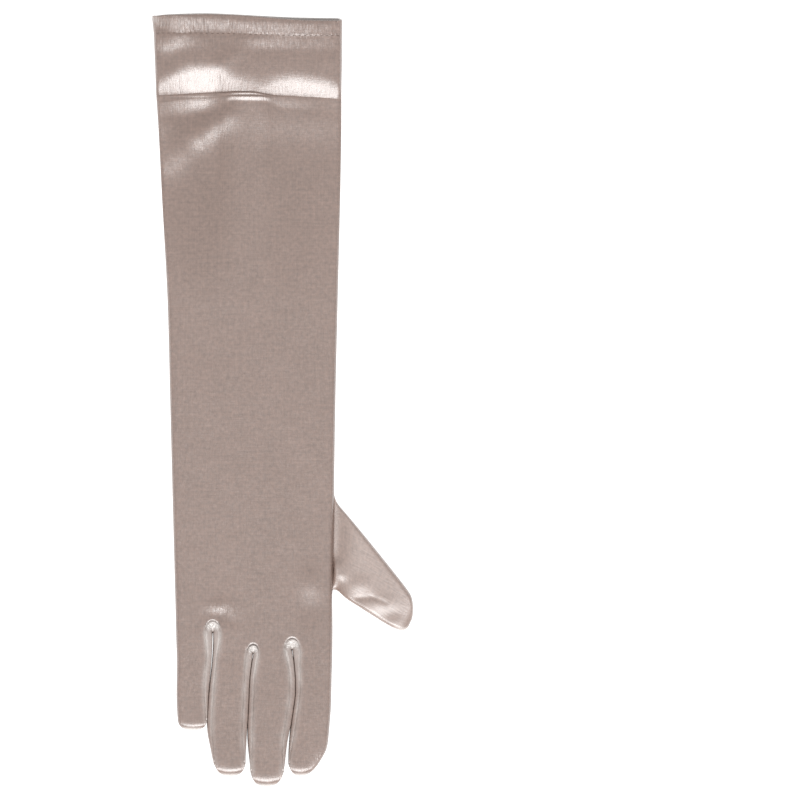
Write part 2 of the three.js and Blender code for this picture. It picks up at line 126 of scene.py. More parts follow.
# How the cloth folds over at its edges. A fold's power is 2 where it is round, and more where the
# cloth stays flat for longer and then turns sharply.
FOLD = 2.5  # how far an edge reaches out past the flat of the back
FOLD_LEVEL = 0.5  # at which share of its height it reaches furthest out
EDGE_POWER = 2.4
STRIP_POWER = 10
STRIP_LEAN = 0.3  # a slit leans a little, so that the floor doesn't show through it
SLIT_EASE = 0.13  # how far each finger keeps back from the middle of a slit
CROWN = 0.6  # how much lower the back is at its edges than in its middle
FINGER_CROWN = 0.5
STRIP_INSET = 2.7  # a strip's width along the fingers, seen from above
STRIP_NARROWS = 16  # over what length it comes down to that from its width at the crotch
STRIP_POINT = {"length": 22, "inset": 0.25}  # it narrows towards the fingertip
EYE_SLOPE = 0.34  # how far a strip comes down by the time that it reaches the slit's end
WEB_ROUND = (0.1, 0.6)  # the slit's round end: half its width, and its depth
TIP_LEVEL = 3.2  # how high a finger's end seam lies
TIP_SEAM = 0.6  # how much of a finger's width its end seam has
TIP_POWER = 2.2  # 2 rounds the tip off like an ellipse, and more makes it squarer
TIP_CLOSES = 4  # more keeps the tip open for longer
THUMB_FOLD = 2.2  # how far the thumb's edges reach out past the flat of its back
THUMB_FOLD_SHARE = 0.3  # the most of the thumb's width that one of them takes

# How finely the skin is laid out before it is smoothed
FINGER_COLUMNS = 6
CROTCH_COLUMNS = 6
FOLD_STEPS = 8
FINGER_STEPS = 18
TIP_STEPS = 7
THUMB_STEPS = 4  # rows between two places of the thumb's table
HOLE_COLUMN = 2  # the thumb's seam on the palm lies this many columns in from the edge
HEM_DEPTH = 11.4
HEM_ROWS = (0, 0.8, 2, 4, 6.5, 9, 10.6, HEM_DEPTH, 12.2, 13.5, 16, 19, 22.5)
CREASE_ROWS = (
    -20, -17, -14.5, -12, -10, -8, -6, -4.5, -3.2, -2.1, -1.2, -0.5, 0,
    0.3, 0.7, 1.2, 1.8, 2.4, 3.0, 3.7, 4.6, 5.7, 7, 8.5, 10.5, 13.5, 17, 21,
)
SLEEVE_ROW_STEP = 6.6
HAND_ROW_COUNT = 21
KNUCKLE_ROW_COUNT = 6
KNUCKLE_CROWDING = 1.3  # more than 1 puts the knuckles' rows closer together towards the fingers

# Two packing creases cross the back. "line" is where a crease runs, and "lip" how softly it turns
# there. Above the line the cloth slopes down over its reach: it sets in softly and gets this steep.
# Below the line it springs back up at once where the crease is sharp, and then rolls down again.
CREASE_ALONG = 46.5
CREASE_PULL = 12  # rows of points nearer than about this follow the crease
CREASE = {
    "along": (-54, -48, -40, -32, -18, -12, -6, 0, 5, 9, 16, 27, 40, 46, 54),  # places across the glove
    "line": (47.8, 47.4, 47.0, 46.4, 45.6, 45.4, 45.1, 45.1, 45.4, 46.1, 47.3, 47.9, 48.5, 49.0, 49.6),
    "lip": (2, 2, 1.8, 1.8, 1.7, 1.2, 0.3, 0.25, 0.25, 0.5, 1.1, 1.2, 1.1, 1, 1),
    "springs": (0.1, 0.1, 0.1, 0.1, 0.15, 0.4, 0.9, 1, 1, 0.8, 0.3, 0.15, 0.1, 0.1, 0.1),
    "reach": (10, 12.5, 16.5, 19, 18.5, 15.5, 13.5, 12.5, 11.5, 10.5, 13.5, 15.5, 14.5, 13, 10.5),
    "sets_in": (7, 7, 8, 8, 8, 8, 8, 8, 8, 8, 8, 8, 8, 7, 7),
    "steep": (0.26, 0.29, 0.3, 0.3, 0.3, 0.28, 0.23, 0.19, 0.19, 0.23, 0.28, 0.3, 0.3, 0.29, 0.28),
    "roll": (0.4, 1.1, 1.6, 1.45, 1.6, 0.7, 0.3, 0.3, 0.25, 0.3, 0.5, 0.56, 0.2, 0.15, 0.1),
    "roll_from": (4.5, 4, 3.2, 3, 3.2, 2.6, 0, 0, 0, 0.3, 1, 1.3, 1.5, 1.5, 1.5),
    "roll_length": (8, 8.5, 9, 9, 8, 6, 3, 2.2, 2.2, 3, 5, 6, 6, 6, 6),
}
SMALL_CREASE = {
    "along": (-54, -14, -8, 2, 9, 15, 54),
    "line": (47.8, 47.8, 47.3, 47.2, 47.5, 48.0, 48.0),
    "lip": 0.2,
    "springs": 1,
    "reach": 1.5,
    "sets_in": 1,
    "steep": (0, 0, 0.22, 0.26, 0.22, 0, 0),
    "roll": (0, 0, 0.75, 0.95, 0.75, 0, 0),
    "roll_from": 0,
    "roll_length": (3.0, 3.0, 3.1, 3.2, 3.1, 3.0, 3.0),
}


def bump(distance, width):
    """A soft bell: one where distance is nothing, and almost nothing past twice the width."""
    return np.exp(-((distance / width) ** 2))


def smooth(low, high, value):
    """Nothing below low, one above high, and a soft step between them."""
    t = np.clip((value - low) / (high - low), 0, 1)
    return t * t * (3 - 2 * t)


def lerp(a, b, t):
    """From a at 0 to b at 1, in a straight line."""
    return a + (b - a) * t


def read(table, column, along):
    """A column of a table at any place along it, on a smooth curve through its rows. A column that
    is one number is the same everywhere."""
    xs = np.asarray(table["along"], float)
    ys = np.broadcast_to(np.asarray(table[column], float), xs.shape)
    before = np.maximum(np.arange(len(xs)) - 1, 0)
    after = np.minimum(np.arange(len(xs)) + 1, len(xs) - 1)
    slopes = (ys[after] - ys[before]) / (xs[after] - xs[before])
    i = np.clip(np.searchsorted(xs, along, side="left") - 1, 0, len(xs) - 2)
    span = xs[i + 1] - xs[i]
    t = np.clip((along - xs[i]) / span, 0, 1)
    t2, t3 = t * t, t * t * t
    return (
        ys[i] * (2 * t3 - 3 * t2 + 1)
        + slopes[i] * span * (t3 - 2 * t2 + t)
        + ys[i + 1] * (3 * t2 - 2 * t3)
        + slopes[i + 1] * span * (t3 - t2)
    )


def seams_at(along):
    """How far across the flat of the back ends at the left and at the right, and folds over."""
    return float(read(ARM, "left", along)) + FOLD, float(read(ARM, "right", along)) - FOLD


def from_middle(across, along):
    """From -1 at the left edge to 1 at the right one."""
    left, right = read(ARM, "left", along), read(ARM, "right", along)
    return (2 * across - left - right) / (right - left)


def plain_height(across, along):
    """How high the back lies before it is creased."""
    return read(ARM, "level", along) - CROWN * from_middle(across, along) ** 2


class Skin:
    """The glove's outside as one surface. Points that coincide are one."""

    def __init__(self):
        self.points, self.faces, self.pieces, self.threads = [], [], [], []
        self.known = {}
        self.closings = []  # lines of places where a piece is sewn to itself

    def point(self, place):
        """The number of the point at a place. It is added if it isn't known yet."""
        key = tuple(round(value, 3) for value in place)
        if key not in self.known:
            self.known[key] = len(self.points)
            self.points.append(place)
        return self.known[key]

    def patch(self, piece, rows):
        """Faces between rows of knots. A knot is a place, and how far it lies across and along the
        threads of its cloth."""
        for above, below in zip(rows, rows[1:]):
            for j in range(1, len(below)):
                corners = (above[j - 1], below[j - 1], below[j], above[j])
                ring = {}
                for place, thread in corners:
                    ring.setdefault(self.point(place), thread)
                if len(ring) < 3:
                    continue
                self.faces.append(tuple(ring))
                self.threads.extend(ring.values())
                self.pieces.append(piece)


def place(across, along, height):
    """A point of the pattern. Along runs from the cuff to the fingertips, which is towards -Y."""
    return (across, -along, height)


def fold_over(seam, outermost, top, level, bottom=0.0, steps=FOLD_STEPS, power=EDGE_POWER, lean=0):
    """Points round a folded edge, from the back down to the palm by way of the outermost point. A
    power of 2 makes it round, and more keeps the cloth flat for longer and then turns it sharply."""
    middle = lerp(bottom, top, level)
    points = []
    for i in range(steps + 1):
        angle = math.pi * i / steps
        reach = abs(math.sin(angle)) ** (2 / power)
        rise = math.copysign(abs(math.cos(angle)) ** (2 / power), math.cos(angle))
        height = middle + rise * ((top - middle) if rise > 0 else (middle - bottom))
        across = lerp(seam[0], outermost[0] + lean * rise, reach)
        points.append(place(across, lerp(seam[1], outermost[1], reach), height))
    return points


def round_the_slit(crotch, angle):
    """A place on the round end of a slit."""
    across = crotch["across"] + WEB_ROUND[0] * math.cos(angle)
    along = crotch["web"] + WEB_ROUND[1] * (1 - math.sin(angle))
    return (across, along)


def round_the_eye(top, bottom, crotch, angle):
    """Points of a strip where it goes round the end of a slit. It slopes down to the slit there."""
    outermost = round_the_slit(crotch, angle)
    fold = fold_over(seam_of(top), outermost, top[2], FOLD_LEVEL, power=STRIP_POWER)
    facing = math.sin(angle)
    points = []
    for i, folded in enumerate(fold):
        reach = math.sin(math.pi * i / FOLD_STEPS)
        sloping = list(folded)
        if 0 < i < FOLD_STEPS // 2:
            sloping[0] = lerp(top[0], outermost[0], reach)
            sloping[1] = lerp(top[1], -outermost[1], reach)
            sloping[2] = top[2] * (1 - (1 - FOLD_LEVEL) * EYE_SLOPE * reach)
        points.append(tuple(lerp(a, b, facing) for a, b in zip(folded, sloping)))
    return points[:-1] + [bottom]


def seam_of(point):
    """The place across and along of a point."""
    return (point[0], -point[1])


def lengths(points):
    """How far each point lies along the line through them."""
    total = [0.0]
    for a, b in zip(points, points[1:]):
        total.append(total[-1] + math.dist(a, b))
    return total


def knotted(row):
    """A row round the glove as knots: its threads run straight down the back, round both edges."""
    right_start = row["back"][-1][0]
    right = [right_start + length for length in lengths(row["right"])]
    palm = [right[-1] + length for length in lengths(row["palm"])]
    left_lengths = lengths(row["left"])
    left = [row["back"][0][0] - (left_lengths[-1] - length) for length in left_lengths]
    across = {"back": [p[0] for p in row["back"]], "right": right, "palm": palm, "left": left}
    return {side: [(p, (u, p[1])) for p, u in zip(row[side], across[side])] for side in row}


def root_of(crotch):
    """How far along the strip's seams on the back begin to run down the fingers."""
    return crotch["seam"] + crotch["inset"]


def crotches_beside(f):
    """The crotches at the left and at the right of a finger, with None where there isn't one."""
    before = CROTCHES[f - 1] if f else None
    after = CROTCHES[f] if f < len(CROTCHES) else None
    return before, after


def make_columns():
    """The columns of points across the hand, with the place where each meets a finger or a slit."""
    left, _ = seams_at(root_of(CROTCHES[0]))
    _, right = seams_at(root_of(CROTCHES[-1]))
    columns = []
    for f in range(len(FINGERS)):
        before, after = crotches_beside(f)
        start = before["across"] + before["inset"] if before else left
        stop = after["across"] - after["inset"] if after else right
        for i in range(FINGER_COLUMNS + 1):
            t = i / FINGER_COLUMNS
            root = lerp(root_of(before or after), root_of(after or before), t)
            columns.append({"finger": f, "across": lerp(start, stop, t), "root": root})
        if not after:
            continue
        for i in range(1, CROTCH_COLUMNS):
            angle = math.pi * (1 - i / CROTCH_COLUMNS)
            across = after["across"] + after["inset"] * math.cos(angle)
            root = root_of(after) - after["inset"] * math.sin(angle)
            columns.append({"crotch": f, "angle": angle, "across": across, "root": root})
    for column in columns:
        column["share"] = (column["across"] - left) / (right - left)
    return columns


COLUMNS = make_columns()


def arm_row(along_back, along_palm=None):
    """The points right round the sleeve or the hand."""

    def sheet(along_of, height_of):
        points = []
        for column in COLUMNS:
            along = along_of(column)
            across = lerp(*seams_at(along), column["share"])
            points.append(place(across, along, float(height_of(across, along))))
        return points

    def side(top, bottom, column):
        along = -top[1]
        outline = float(read(ARM, column, along))
        fold = fold_over((top[0], along), (outline, along), top[2], FOLD_LEVEL)
        moved = [(p[0], lerp(top[1], bottom[1], i / FOLD_STEPS), p[2]) for i, p in enumerate(fold)]
        return moved[:-1] + [bottom]

    back = sheet(along_back, plain_height)
    palm = sheet(along_palm or along_back, lambda across, along: 0.0)
    return {
        "back": back,
        "right": side(back[-1], palm[-1], "right"),
        "palm": palm[::-1],
        "left": side(back[0], palm[0], "left")[::-1],
    }


# How far the cuff's edge hangs back from its furthest point, on the back and on the palm
CUFF_EDGE = {
    "along": (-52, -48, -38, -22, -4, 12, 28, 45, 52),  # these are places across the glove
    "back": (2.4, 1.9, 1.4, 1.0, 2.0, 3.3, 4.6, 5.1, 5.1),
    "palm": (2.2, 1.4, 0.9, 0.6, 1.4, 2.3, 3.0, 3.3, 3.4),
}

# The hem's slant is the least at the left and more at the right. Past the stitching it evens out.
HEM_SLANT = {"least": 0.5, "more": 1.5, "from": -35, "to": 45, "evens_out": 26}


def hem_slant(across):
    """How far the hem's stitching on the back lies below its place on the palm."""
    return HEM_SLANT["least"] + HEM_SLANT["more"] * smooth(HEM_SLANT["from"], HEM_SLANT["to"], across)


def across_cuff(column):
    """Where a column of points begins, at the cuff's edge."""
    return lerp(*seams_at(0), column["share"])


def sleeve_row(row):
    """A row that follows the crease where it is near, and the cuff's edge at the top."""
    in_hem = max(0.0, 1 - row / HEM_DEPTH)
    slanting = row / HEM_DEPTH if row < HEM_DEPTH else 1 - smooth(HEM_DEPTH, HEM_SLANT["evens_out"], row)

    def along_back(column):
        across = across_cuff(column)
        bend = float(read(CREASE, "line", across)) - CREASE_ALONG
        to_crease = bend * float(bump(row - CREASE_ALONG, CREASE_PULL))
        to_hem = float(hem_slant(across) * slanting)
        return row + to_crease + to_hem + float(read(CUFF_EDGE, "back", across)) * in_hem

    def along_palm(column):
        return row + float(read(CUFF_EDGE, "palm", across_cuff(column))) * in_hem

    return arm_row(along_back, along_palm)


def add_arm(skin):
    """The sleeve and the hand, with a hole in the edge of the palm for the thumb."""
    sleeve_rows = list(HEM_ROWS) + [CREASE_ALONG + offset for offset in CREASE_ROWS]
    count = round((HAND_START - sleeve_rows[-1]) / SLEEVE_ROW_STEP)
    sleeve_rows += [lerp(sleeve_rows[-1], HAND_START, (i + 1) / count) for i in range(count - 1)]
    sleeve = [sleeve_row(row) for row in sleeve_rows]
    hand = []
    for i in range(HAND_ROW_COUNT):
        along = lerp(HAND_START, HAND_END, i / (HAND_ROW_COUNT - 1))
        hand.append(arm_row(lambda column, along=along: along))
    knuckles = []
    for i in range(KNUCKLE_ROW_COUNT):
        share = 1 - (1 - (i + 1) / KNUCKLE_ROW_COUNT) ** KNUCKLE_CROWDING
        knuckles.append(arm_row(lambda column, share=share: lerp(HAND_END, column["root"], share)))

    def whole(row):
        knots = knotted(row)
        return knots["back"] + knots["right"] + knots["palm"] + knots["left"]

    def beside_hole(row):
        knots = knotted(row)
        upper = knots["right"][: FOLD_STEPS // 2 + 1]
        return knots["palm"][HOLE_COLUMN:], knots["left"], knots["back"] + upper

    skin.patch(TRANK, [whole(row) for row in sleeve + hand[:1]])
    skin.patch(TRANK, [whole(row) for row in hand[-1:] + knuckles])
    for strip in zip(*(beside_hole(row) for row in hand)):
        skin.patch(TRANK, strip)
    return hand, knuckles[-1]


def root_row(f, roots):
    """The row of points round a finger where it leaves the hand."""
    own = [i for i, column in enumerate(COLUMNS) if column.get("finger") == f]
    back = [roots["back"][i] for i in own]
    palm = [roots["palm"][-1 - i] for i in own][::-1]
    before, after = crotches_beside(f)
    right = round_the_eye(back[-1], palm[0], after, math.pi) if after else roots["right"]
    left = round_the_eye(back[0], palm[-1], before, 0)[::-1] if before else roots["left"]
    return {"back": back, "right": right, "palm": palm, "left": left}


def finger_row(f, to_end, tip):
    """The row of points round a finger. To_end is the share of the way down its side strips, and
    tip the share of the way from there to its end."""
    finger = FINGERS[f]
    corner = (1 - TIP_SEAM**TIP_POWER) ** (1 / TIP_POWER)
    narrow = (1 - (corner * tip) ** TIP_POWER) ** (1 / TIP_POWER)
    sag = finger["round"] * tip * (1 - corner)
    flat = math.sqrt(1 - tip**TIP_CLOSES)
    strip_end = finger["tip"] - finger["round"]

    def along_from(root):
        return lerp(lerp(root, strip_end, to_end), finger["tip"], tip)

    def side(crotch, neighbour, column, inwards):
        near = crotch or neighbour
        along = along_from(root_of(near)) - sag
        outer = along_from(near["web"] + WEB_ROUND[1]) - sag if crotch else along
        left, right = float(read(finger, "left", outer)), float(read(finger, "right", outer))
        outline = lerp((left + right) / 2, left if column == "left" else right, narrow)
        width = FOLD
        if crotch:
            outline += inwards * SLIT_EASE
            root = root_of(crotch)
            narrowed = float(smooth(root, root + STRIP_NARROWS, along))
            ending = float(smooth(strip_end - STRIP_POINT["length"], strip_end, along))
            width = lerp(lerp(crotch["inset"], STRIP_INSET, narrowed), STRIP_POINT["inset"], ending)
        return (outline + inwards * width * narrow * flat, along), (outline, outer)

    before, after = crotches_beside(f)
    left, right = side(before, after, "left", 1), side(after, before, "right", -1)

    def turn(crotch):
        return {"power": STRIP_POWER, "lean": STRIP_LEAN * (1 - tip)} if crotch else {}

    def sheet(height_of):
        points = []
        for i in range(FINGER_COLUMNS + 1):
            t = i / FINGER_COLUMNS
            from_edge = 1 - abs(2 * t - 1) ** TIP_POWER
            across = lerp(left[0][0], right[0][0], t)
            along = lerp(left[0][1], right[0][1], t) + sag * from_edge
            crown = FINGER_CROWN * to_end * (1 - from_edge)
            points.append(place(across, along, lerp(TIP_LEVEL, height_of(across, along, crown), flat)))
        return points

    back = sheet(lambda across, along, crown: float(plain_height(across, along)) - crown)
    palm = sheet(lambda across, along, crown: 0.0)[::-1]
    return {
        "back": back,
        "right": fold_over(*right, back[-1][2], FOLD_LEVEL, palm[0][2], **turn(after)),
        "palm": palm,
        "left": fold_over(*left, back[0][2], FOLD_LEVEL, palm[-1][2], **turn(before))[::-1],
    }


def add_finger(skin, f, roots):
    """A finger, whose back, palm, end and outer side are cut in one with the hand. Where a strip is
    sewn on, only the rows of the tip have a side."""
    rows = [root_row(f, roots)]
    rows += [finger_row(f, (i + 1) / FINGER_STEPS, 0) for i in range(FINGER_STEPS)]
    rows += [finger_row(f, 1, math.sin(math.pi / 2 * (i + 1) / TIP_STEPS)) for i in range(TIP_STEPS)]
    end = rows[-1]
    skin.closings.append(end["left"] + end["back"] + end["right"])
    before, after = crotches_beside(f)
    for side, crotch in (("left", before), ("right", after)):
        if crotch:
            skin.closings.append([row[side][FOLD_STEPS // 2] for row in rows[FINGER_STEPS:]])
    knots = [knotted(row) for row in rows]
    for side, crotch in (("back", None), ("palm", None), ("right", after), ("left", before)):
        skin.patch(TRANK, [row[side] for row in (knots[FINGER_STEPS:] if crotch else knots)])
    return rows[: FINGER_STEPS + 1]


def add_strip(skin, c, fingers, roots):
    """The strip between two fingers: up one finger's side, round the slit's end, down the next."""
    crotch = CROTCHES[c]
    rows = [row["right"][::-1] for row in fingers[c]][::-1]
    for i, column in enumerate(COLUMNS):
        if column.get("crotch") != c:
            continue
        top, bottom = roots["back"][i], roots["palm"][-1 - i]
        rows.append(round_the_eye(top, bottom, crotch, column["angle"])[::-1])
    rows += [row["left"] for row in fingers[c + 1]]
    middle = [row[FOLD_STEPS // 2] for row in rows]
    down = lengths(middle)
    eye = down[len(fingers[c]) + CROTCH_COLUMNS // 2 - 1]
    knots = []
    for row, along in zip(rows, down):
        knots.append([(p, (u, along - eye)) for p, u in zip(row, lengths(row))])
    skin.patch(FIRST_STRIP + c, knots)


def hole_row(hand):
    """The row of points round the thumb's hole. It starts on the back, at the fingers' end."""
    under = FOLD_STEPS // 2

    def side(row):
        return row["right"][under + 1:] + row["palm"][1:HOLE_COLUMN]

    return (
        [row["right"][under] for row in hand][::-1]
        + side(hand[0])
        + [row["palm"][HOLE_COLUMN] for row in hand]
        + side(hand[-1])[::-1]
    )


def thumb_row(near, far, level, is_seam):
    """A row of points round the thumb, in step with the hole's."""
    width = math.dist(near, far)
    fold = 0 if is_seam else min(THUMB_FOLD / width, THUMB_FOLD_SHARE)
    lift = level if is_seam else 0.0

    def at(share):
        return (lerp(far[0], near[0], share), lerp(far[1], near[1], share))

    last = HAND_ROW_COUNT - 1
    back = [at(lerp(fold, 1 - fold, i / last)) for i in range(HAND_ROW_COUNT)]
    steps = FOLD_STEPS // 2 + HOLE_COLUMN

    def side(seam, outermost):
        return fold_over(seam, outermost, level, FOLD_LEVEL, lift, steps)[1:-1]

    return (
        [place(*p, level) for p in back]
        + side(back[-1], at(1))
        + [place(*p, lift) for p in back][::-1]
        + side(back[0], at(0))[::-1]
    )


def add_thumb(skin, hand):
    """The thumb, from its hole to its tip."""
    rows = [hole_row(hand)]
    last = (len(THUMB_ROWS["along"]) - 1) * THUMB_STEPS
    for i in range(last + 1):
        sizes = {column: float(read(THUMB_ROWS, column, i / THUMB_STEPS)) for column in THUMB_ROWS}
        near = (sizes["near_across"], sizes["near_along"])
        far = (sizes["far_across"], sizes["far_along"])
        rows.append(thumb_row(near, far, sizes["level"], i == last))
    skin.closings.append(rows[-1])
    rows = [row + row[:1] for row in rows]
    middle = [tuple(np.mean(row, axis=0)) for row in rows]
    knots = []
    for row, along in zip(rows, lengths(middle)):
        knots.append([(p, (u, -along)) for p, u in zip(row, lengths(row))])
    skin.patch(THUMB, knots)


def make_skin():
    """The whole glove as it is laid out, before it is smoothed."""
    skin = Skin()
    hand, roots = add_arm(skin)
    fingers = [add_finger(skin, f, roots) for f in range(len(FINGERS))]
    for c in range(len(CROTCHES)):
        add_strip(skin, c, fingers, roots)
    add_thumb(skin, hand)
    return skin


# Soft folds and dents of the cloth from one point to another, each point given across and along.
# Height is negative for a dent, the width is that of the bell across the line, and taper is how much
# lower a fold is at its ends than in its middle.
BACK_FOLDS = (
    {"from": (-14, 58.8), "to": (-25.5, 68.4), "width": 7.5, "height": 2.6, "taper": 0.15},
    {"from": (-36, 74.8), "to": (-43, 83.8), "width": 8.5, "height": 1.9, "taper": 0.2},
    {"from": (-56, 60), "to": (-47, 62), "width": 14, "height": 2.3, "taper": 0},
    {"from": (0, 57), "to": (48, 59), "width": 12, "height": 1.4, "taper": 0.3},
    {"from": (-16, 30), "to": (-4, 22), "width": 4, "height": 0.35, "taper": 0},
)


def soft_folds(across, along, folds):
    """How far the folds raise the cloth."""
    total = np.zeros_like(across)
    for fold in folds:
        (x0, y0), (x1, y1) = fold["from"], fold["to"]
        dx, dy = x1 - x0, y1 - y0
        t = np.clip(((across - x0) * dx + (along - y0) * dy) / (dx * dx + dy * dy), 0, 1)
        away = np.hypot(across - x0 - t * dx, along - y0 - t * dy)
        total += fold["height"] * bump(away, fold["width"]) * (1 - fold["taper"] * np.abs(2 * t - 1) ** 3)
    return total


CREASE_GIVE = 0.32  # over what length the cloth springs back beyond a crease
CREASE_SPRING = 0.4  # how much of a sharp crease's depth it springs back
CREASE_REGAIN = 120  # the length over which it regains the rest
CREASE_OVERHANG = 0.2  # how far the cloth below a crease leans over it
OVERHANG_FADES = 3  # over what length it stops leaning

# At each place the turned-in hem falls away towards its stitching, and then the cloth puffs once more.
# Before is the height of the hem's own puff and after that of the next. From, to and length say where
# each of them falls away, measured from the stitching.
HEM_PUFFS = {
    "along": (-54, -48, -38, -28, -12, -2, 10, 30, 46, 54),  # these are places across the glove
    "before": (0.7, 1.0, 1.9, 1.55, 1.3, 1.2, 1.35, 1.15, 0.85, 0.5),
    "before_from": (-9.5, -9.5, -9.5, -9, -8.5, -7.5, -7.5, -7, -7, -7),
    "before_to": (-2.5, -2, 0, -1, -1, -0.5, 0.5, 0.5, 0.5, 0.5),
    "after": (0.7, 1.15, 1.75, 0.75, 0.25, 0.75, 1.3, 1.25, 1.0, 0.5),
    "after_from": (1.6, 1.6, 1.2, 1.4, 2.0, 2.6, 1, -0.5, -0.2, 0),
    "after_length": (9.5, 9.5, 9, 8, 7, 6.5, 8, 9, 9, 8),
}
HEM_RISES = (-1, 2)  # from the cuff's edge
HEM_GROOVE = {"depth": 0.04, "spread": 0.9}
PALM_GROOVE = {"depth": 0.5, "spread": 1.4}
FLOOR_CLEARANCE = 0.02

EASED_STRAIGHT = 0.7  # 1 is a straight line, and 0 a soft step


def eased(low, high, value):
    """Nothing below low, one above high, and nearly a straight line between them."""
    straight = np.clip((value - low) / (high - low), 0, 1)
    return lerp(smooth(low, high, value), straight, EASED_STRAIGHT)


def crease_relief(crease, across, along):
    """How far a packing crease moves the back: down its slope, then over its lip and its roll."""
    down = along - read(crease, "line", across)
    above = (np.hypot(down, read(crease, "lip", across)) - down) / 2
    reach, sets_in = read(crease, "reach", across), read(crease, "sets_in", across)
    t = np.maximum(reach - above, 0)
    slope = np.where(t < sets_in, t * t / (2 * sets_in), t - sets_in / 2)
    below, springs = np.maximum(down, 0), read(crease, "springs", across)
    given = 1 - np.exp(-below / CREASE_GIVE)
    stays = 1 - smooth(0, CREASE_REGAIN, below)
    depth = read(crease, "steep", across) * slope * lerp(stays, 1 - given, CREASE_SPRING * springs)
    starts = read(crease, "roll_from", across)
    rolled = eased(starts, starts + read(crease, "roll_length", across), below)
    return read(crease, "roll", across) * (springs * given - rolled) * stays - depth


def crease_overhang(across, along):
    """How far the roll below the crease leans towards the cuff, over the end of the slope."""
    below = np.maximum(along - read(CREASE, "line", across), 0)
    leans = (1 - np.exp(-below / CREASE_GIVE)) * np.exp(-below / OVERHANG_FADES)
    return CREASE_OVERHANG * read(CREASE, "springs", across) * leans


def hem_relief(across, along):
    """How far the hem stands proud before its stitching, and the cloth past it."""
    below = along - HEM_DEPTH - hem_slant(across)
    sinks = eased(read(HEM_PUFFS, "before_from", across), read(HEM_PUFFS, "before_to", across), below)
    starts = read(HEM_PUFFS, "after_from", across)
    ends = eased(starts, starts + read(HEM_PUFFS, "after_length", across), below)
    puffs = read(HEM_PUFFS, "before", across) * (1 - sinks) + read(HEM_PUFFS, "after", across) * (1 - ends)
    return smooth(*HEM_RISES, along) * puffs - HEM_GROOVE["depth"] * bump(below, HEM_GROOVE["spread"])


# Dimples, where the cloth dips towards the fingers. Slope is how steeply it dips in the middle, and
# the widths are across and along the glove.
THUMB_DIMPLES = (
    {"across": 64.6, "along": 330.4, "widths": (6.44, 5.6), "slope": 0.18},
    {"across": 75.5, "along": 341.0, "widths": (9.1, 6.44), "slope": 0.13},
    {"across": 84.5, "along": 345.0, "widths": (5.04, 4.2), "slope": -0.12},
)
BACK_DIMPLES = (
    {"across": -45.5, "along": 22.0, "widths": (5.6, 7.0), "slope": 0.1},
    {"across": -13.8, "along": 341.0, "widths": (7.28, 4.06), "slope": 0.24},
    {"across": -8.5, "along": 345.5, "widths": (6.3, 3.08), "slope": 0.15},
    {"across": 36.0, "along": 333.0, "widths": (6.3, 11.2), "slope": 0.09},
)
THUMB_FOLDS = (
    {"from": (50.9, 317.6), "to": (51.6, 320.8), "width": 4.6, "height": 2.3, "taper": 0},
    {"from": (62, 334.4), "to": (72, 333.8), "width": 1.2, "height": -0.3, "taper": 0},
    {"from": (72, 333.8), "to": (79, 336.8), "width": 1.3, "height": -0.25, "taper": 0},
)


def in_spot(across, along, spot):
    """One in the middle of a spot, falling away softly over its widths."""
    wide, long = spot["widths"]
    return bump(across - spot["across"], wide) * bump(along - spot["along"], long)


def dimpled(across, along, dimples):
    """How far the dimples raise the cloth on one side of their middle and lower it on the other."""
    total = np.zeros_like(across)
    for dimple in dimples:
        total -= dimple["slope"] * (along - dimple["along"]) * in_spot(across, along, dimple)
    return total


def thumb_relief(across, along):
    """How far the back of the thumb rises from its plain shape."""
    return soft_folds(across, along, THUMB_FOLDS) + dimpled(across, along, THUMB_DIMPLES)


def relief(across, along, crease_depth):
    """How far the back rises from its plain shape."""
    creases = crease_depth * sum(crease_relief(crease, across, along) for crease in (CREASE, SMALL_CREASE))
    folds = soft_folds(across, along, BACK_FOLDS) + dimpled(across, along, BACK_DIMPLES)
    return hem_relief(across, along) + creases + folds


UNDULATIONS = ({"size": 34, "height": 0.2}, {"size": 12, "height": 0.06})
UNDULATION_ALONG = 0.7  # below 1 they are longer along the glove than across it
UNDULATION_SLICE = 3.7  # where the noise is sliced, which chooses its pattern


def undulation(points):
    """The gentle unevenness of cloth that lies loose."""
    total = np.zeros(len(points))
    for wave in UNDULATIONS:
        places = points / wave["size"]
        heights = [noise.noise(Vector((x, y * UNDULATION_ALONG, UNDULATION_SLICE))) for x, y, _ in places]
        total += wave["height"] * np.array(heights)
    return total


def unit(vectors):
    """The vectors with a length of one. A vector without length stays as it is."""
    return vectors / np.maximum(np.linalg.norm(vectors, axis=1, keepdims=True), 1e-9)


class Surface:
    """The smoothed skin as arrays: points in millimetres, faces of four points, and for each face
    its piece and the threads at its corners. Shift is how far it has been moved to its middle, and
    marks is what the finishes read at its points."""

    def __init__(self, points, faces, pieces, threads, closings):
        self.points, self.faces, self.pieces, self.threads = points, faces, pieces, threads
        self.closings = closings
        self.shift, self.marks = np.zeros(3), {}
        self.known_tree = None

    def tree(self):
        """The surface as a tree that rays can be cast at, made once."""
        if not self.known_tree:
            self.known_tree = BVHTree.FromPolygons(self.points.tolist(), self.faces.tolist())
        return self.known_tree

    def normals(self):
        """The way that the cloth faces at each point."""
        corners = self.points[self.faces]
        cross = np.cross(corners[:, 2] - corners[:, 0], corners[:, 3] - corners[:, 1])
        sums = np.zeros_like(self.points)
        for k in range(4):
            np.add.at(sums, self.faces[:, k], cross)
        return unit(sums)


def array_of(items, attribute, width, kind):
    """An attribute of a mesh's points, faces or corners, as one long array."""
    values = np.empty(len(items) * width, kind)
    items.foreach_get(attribute, values)
    return values


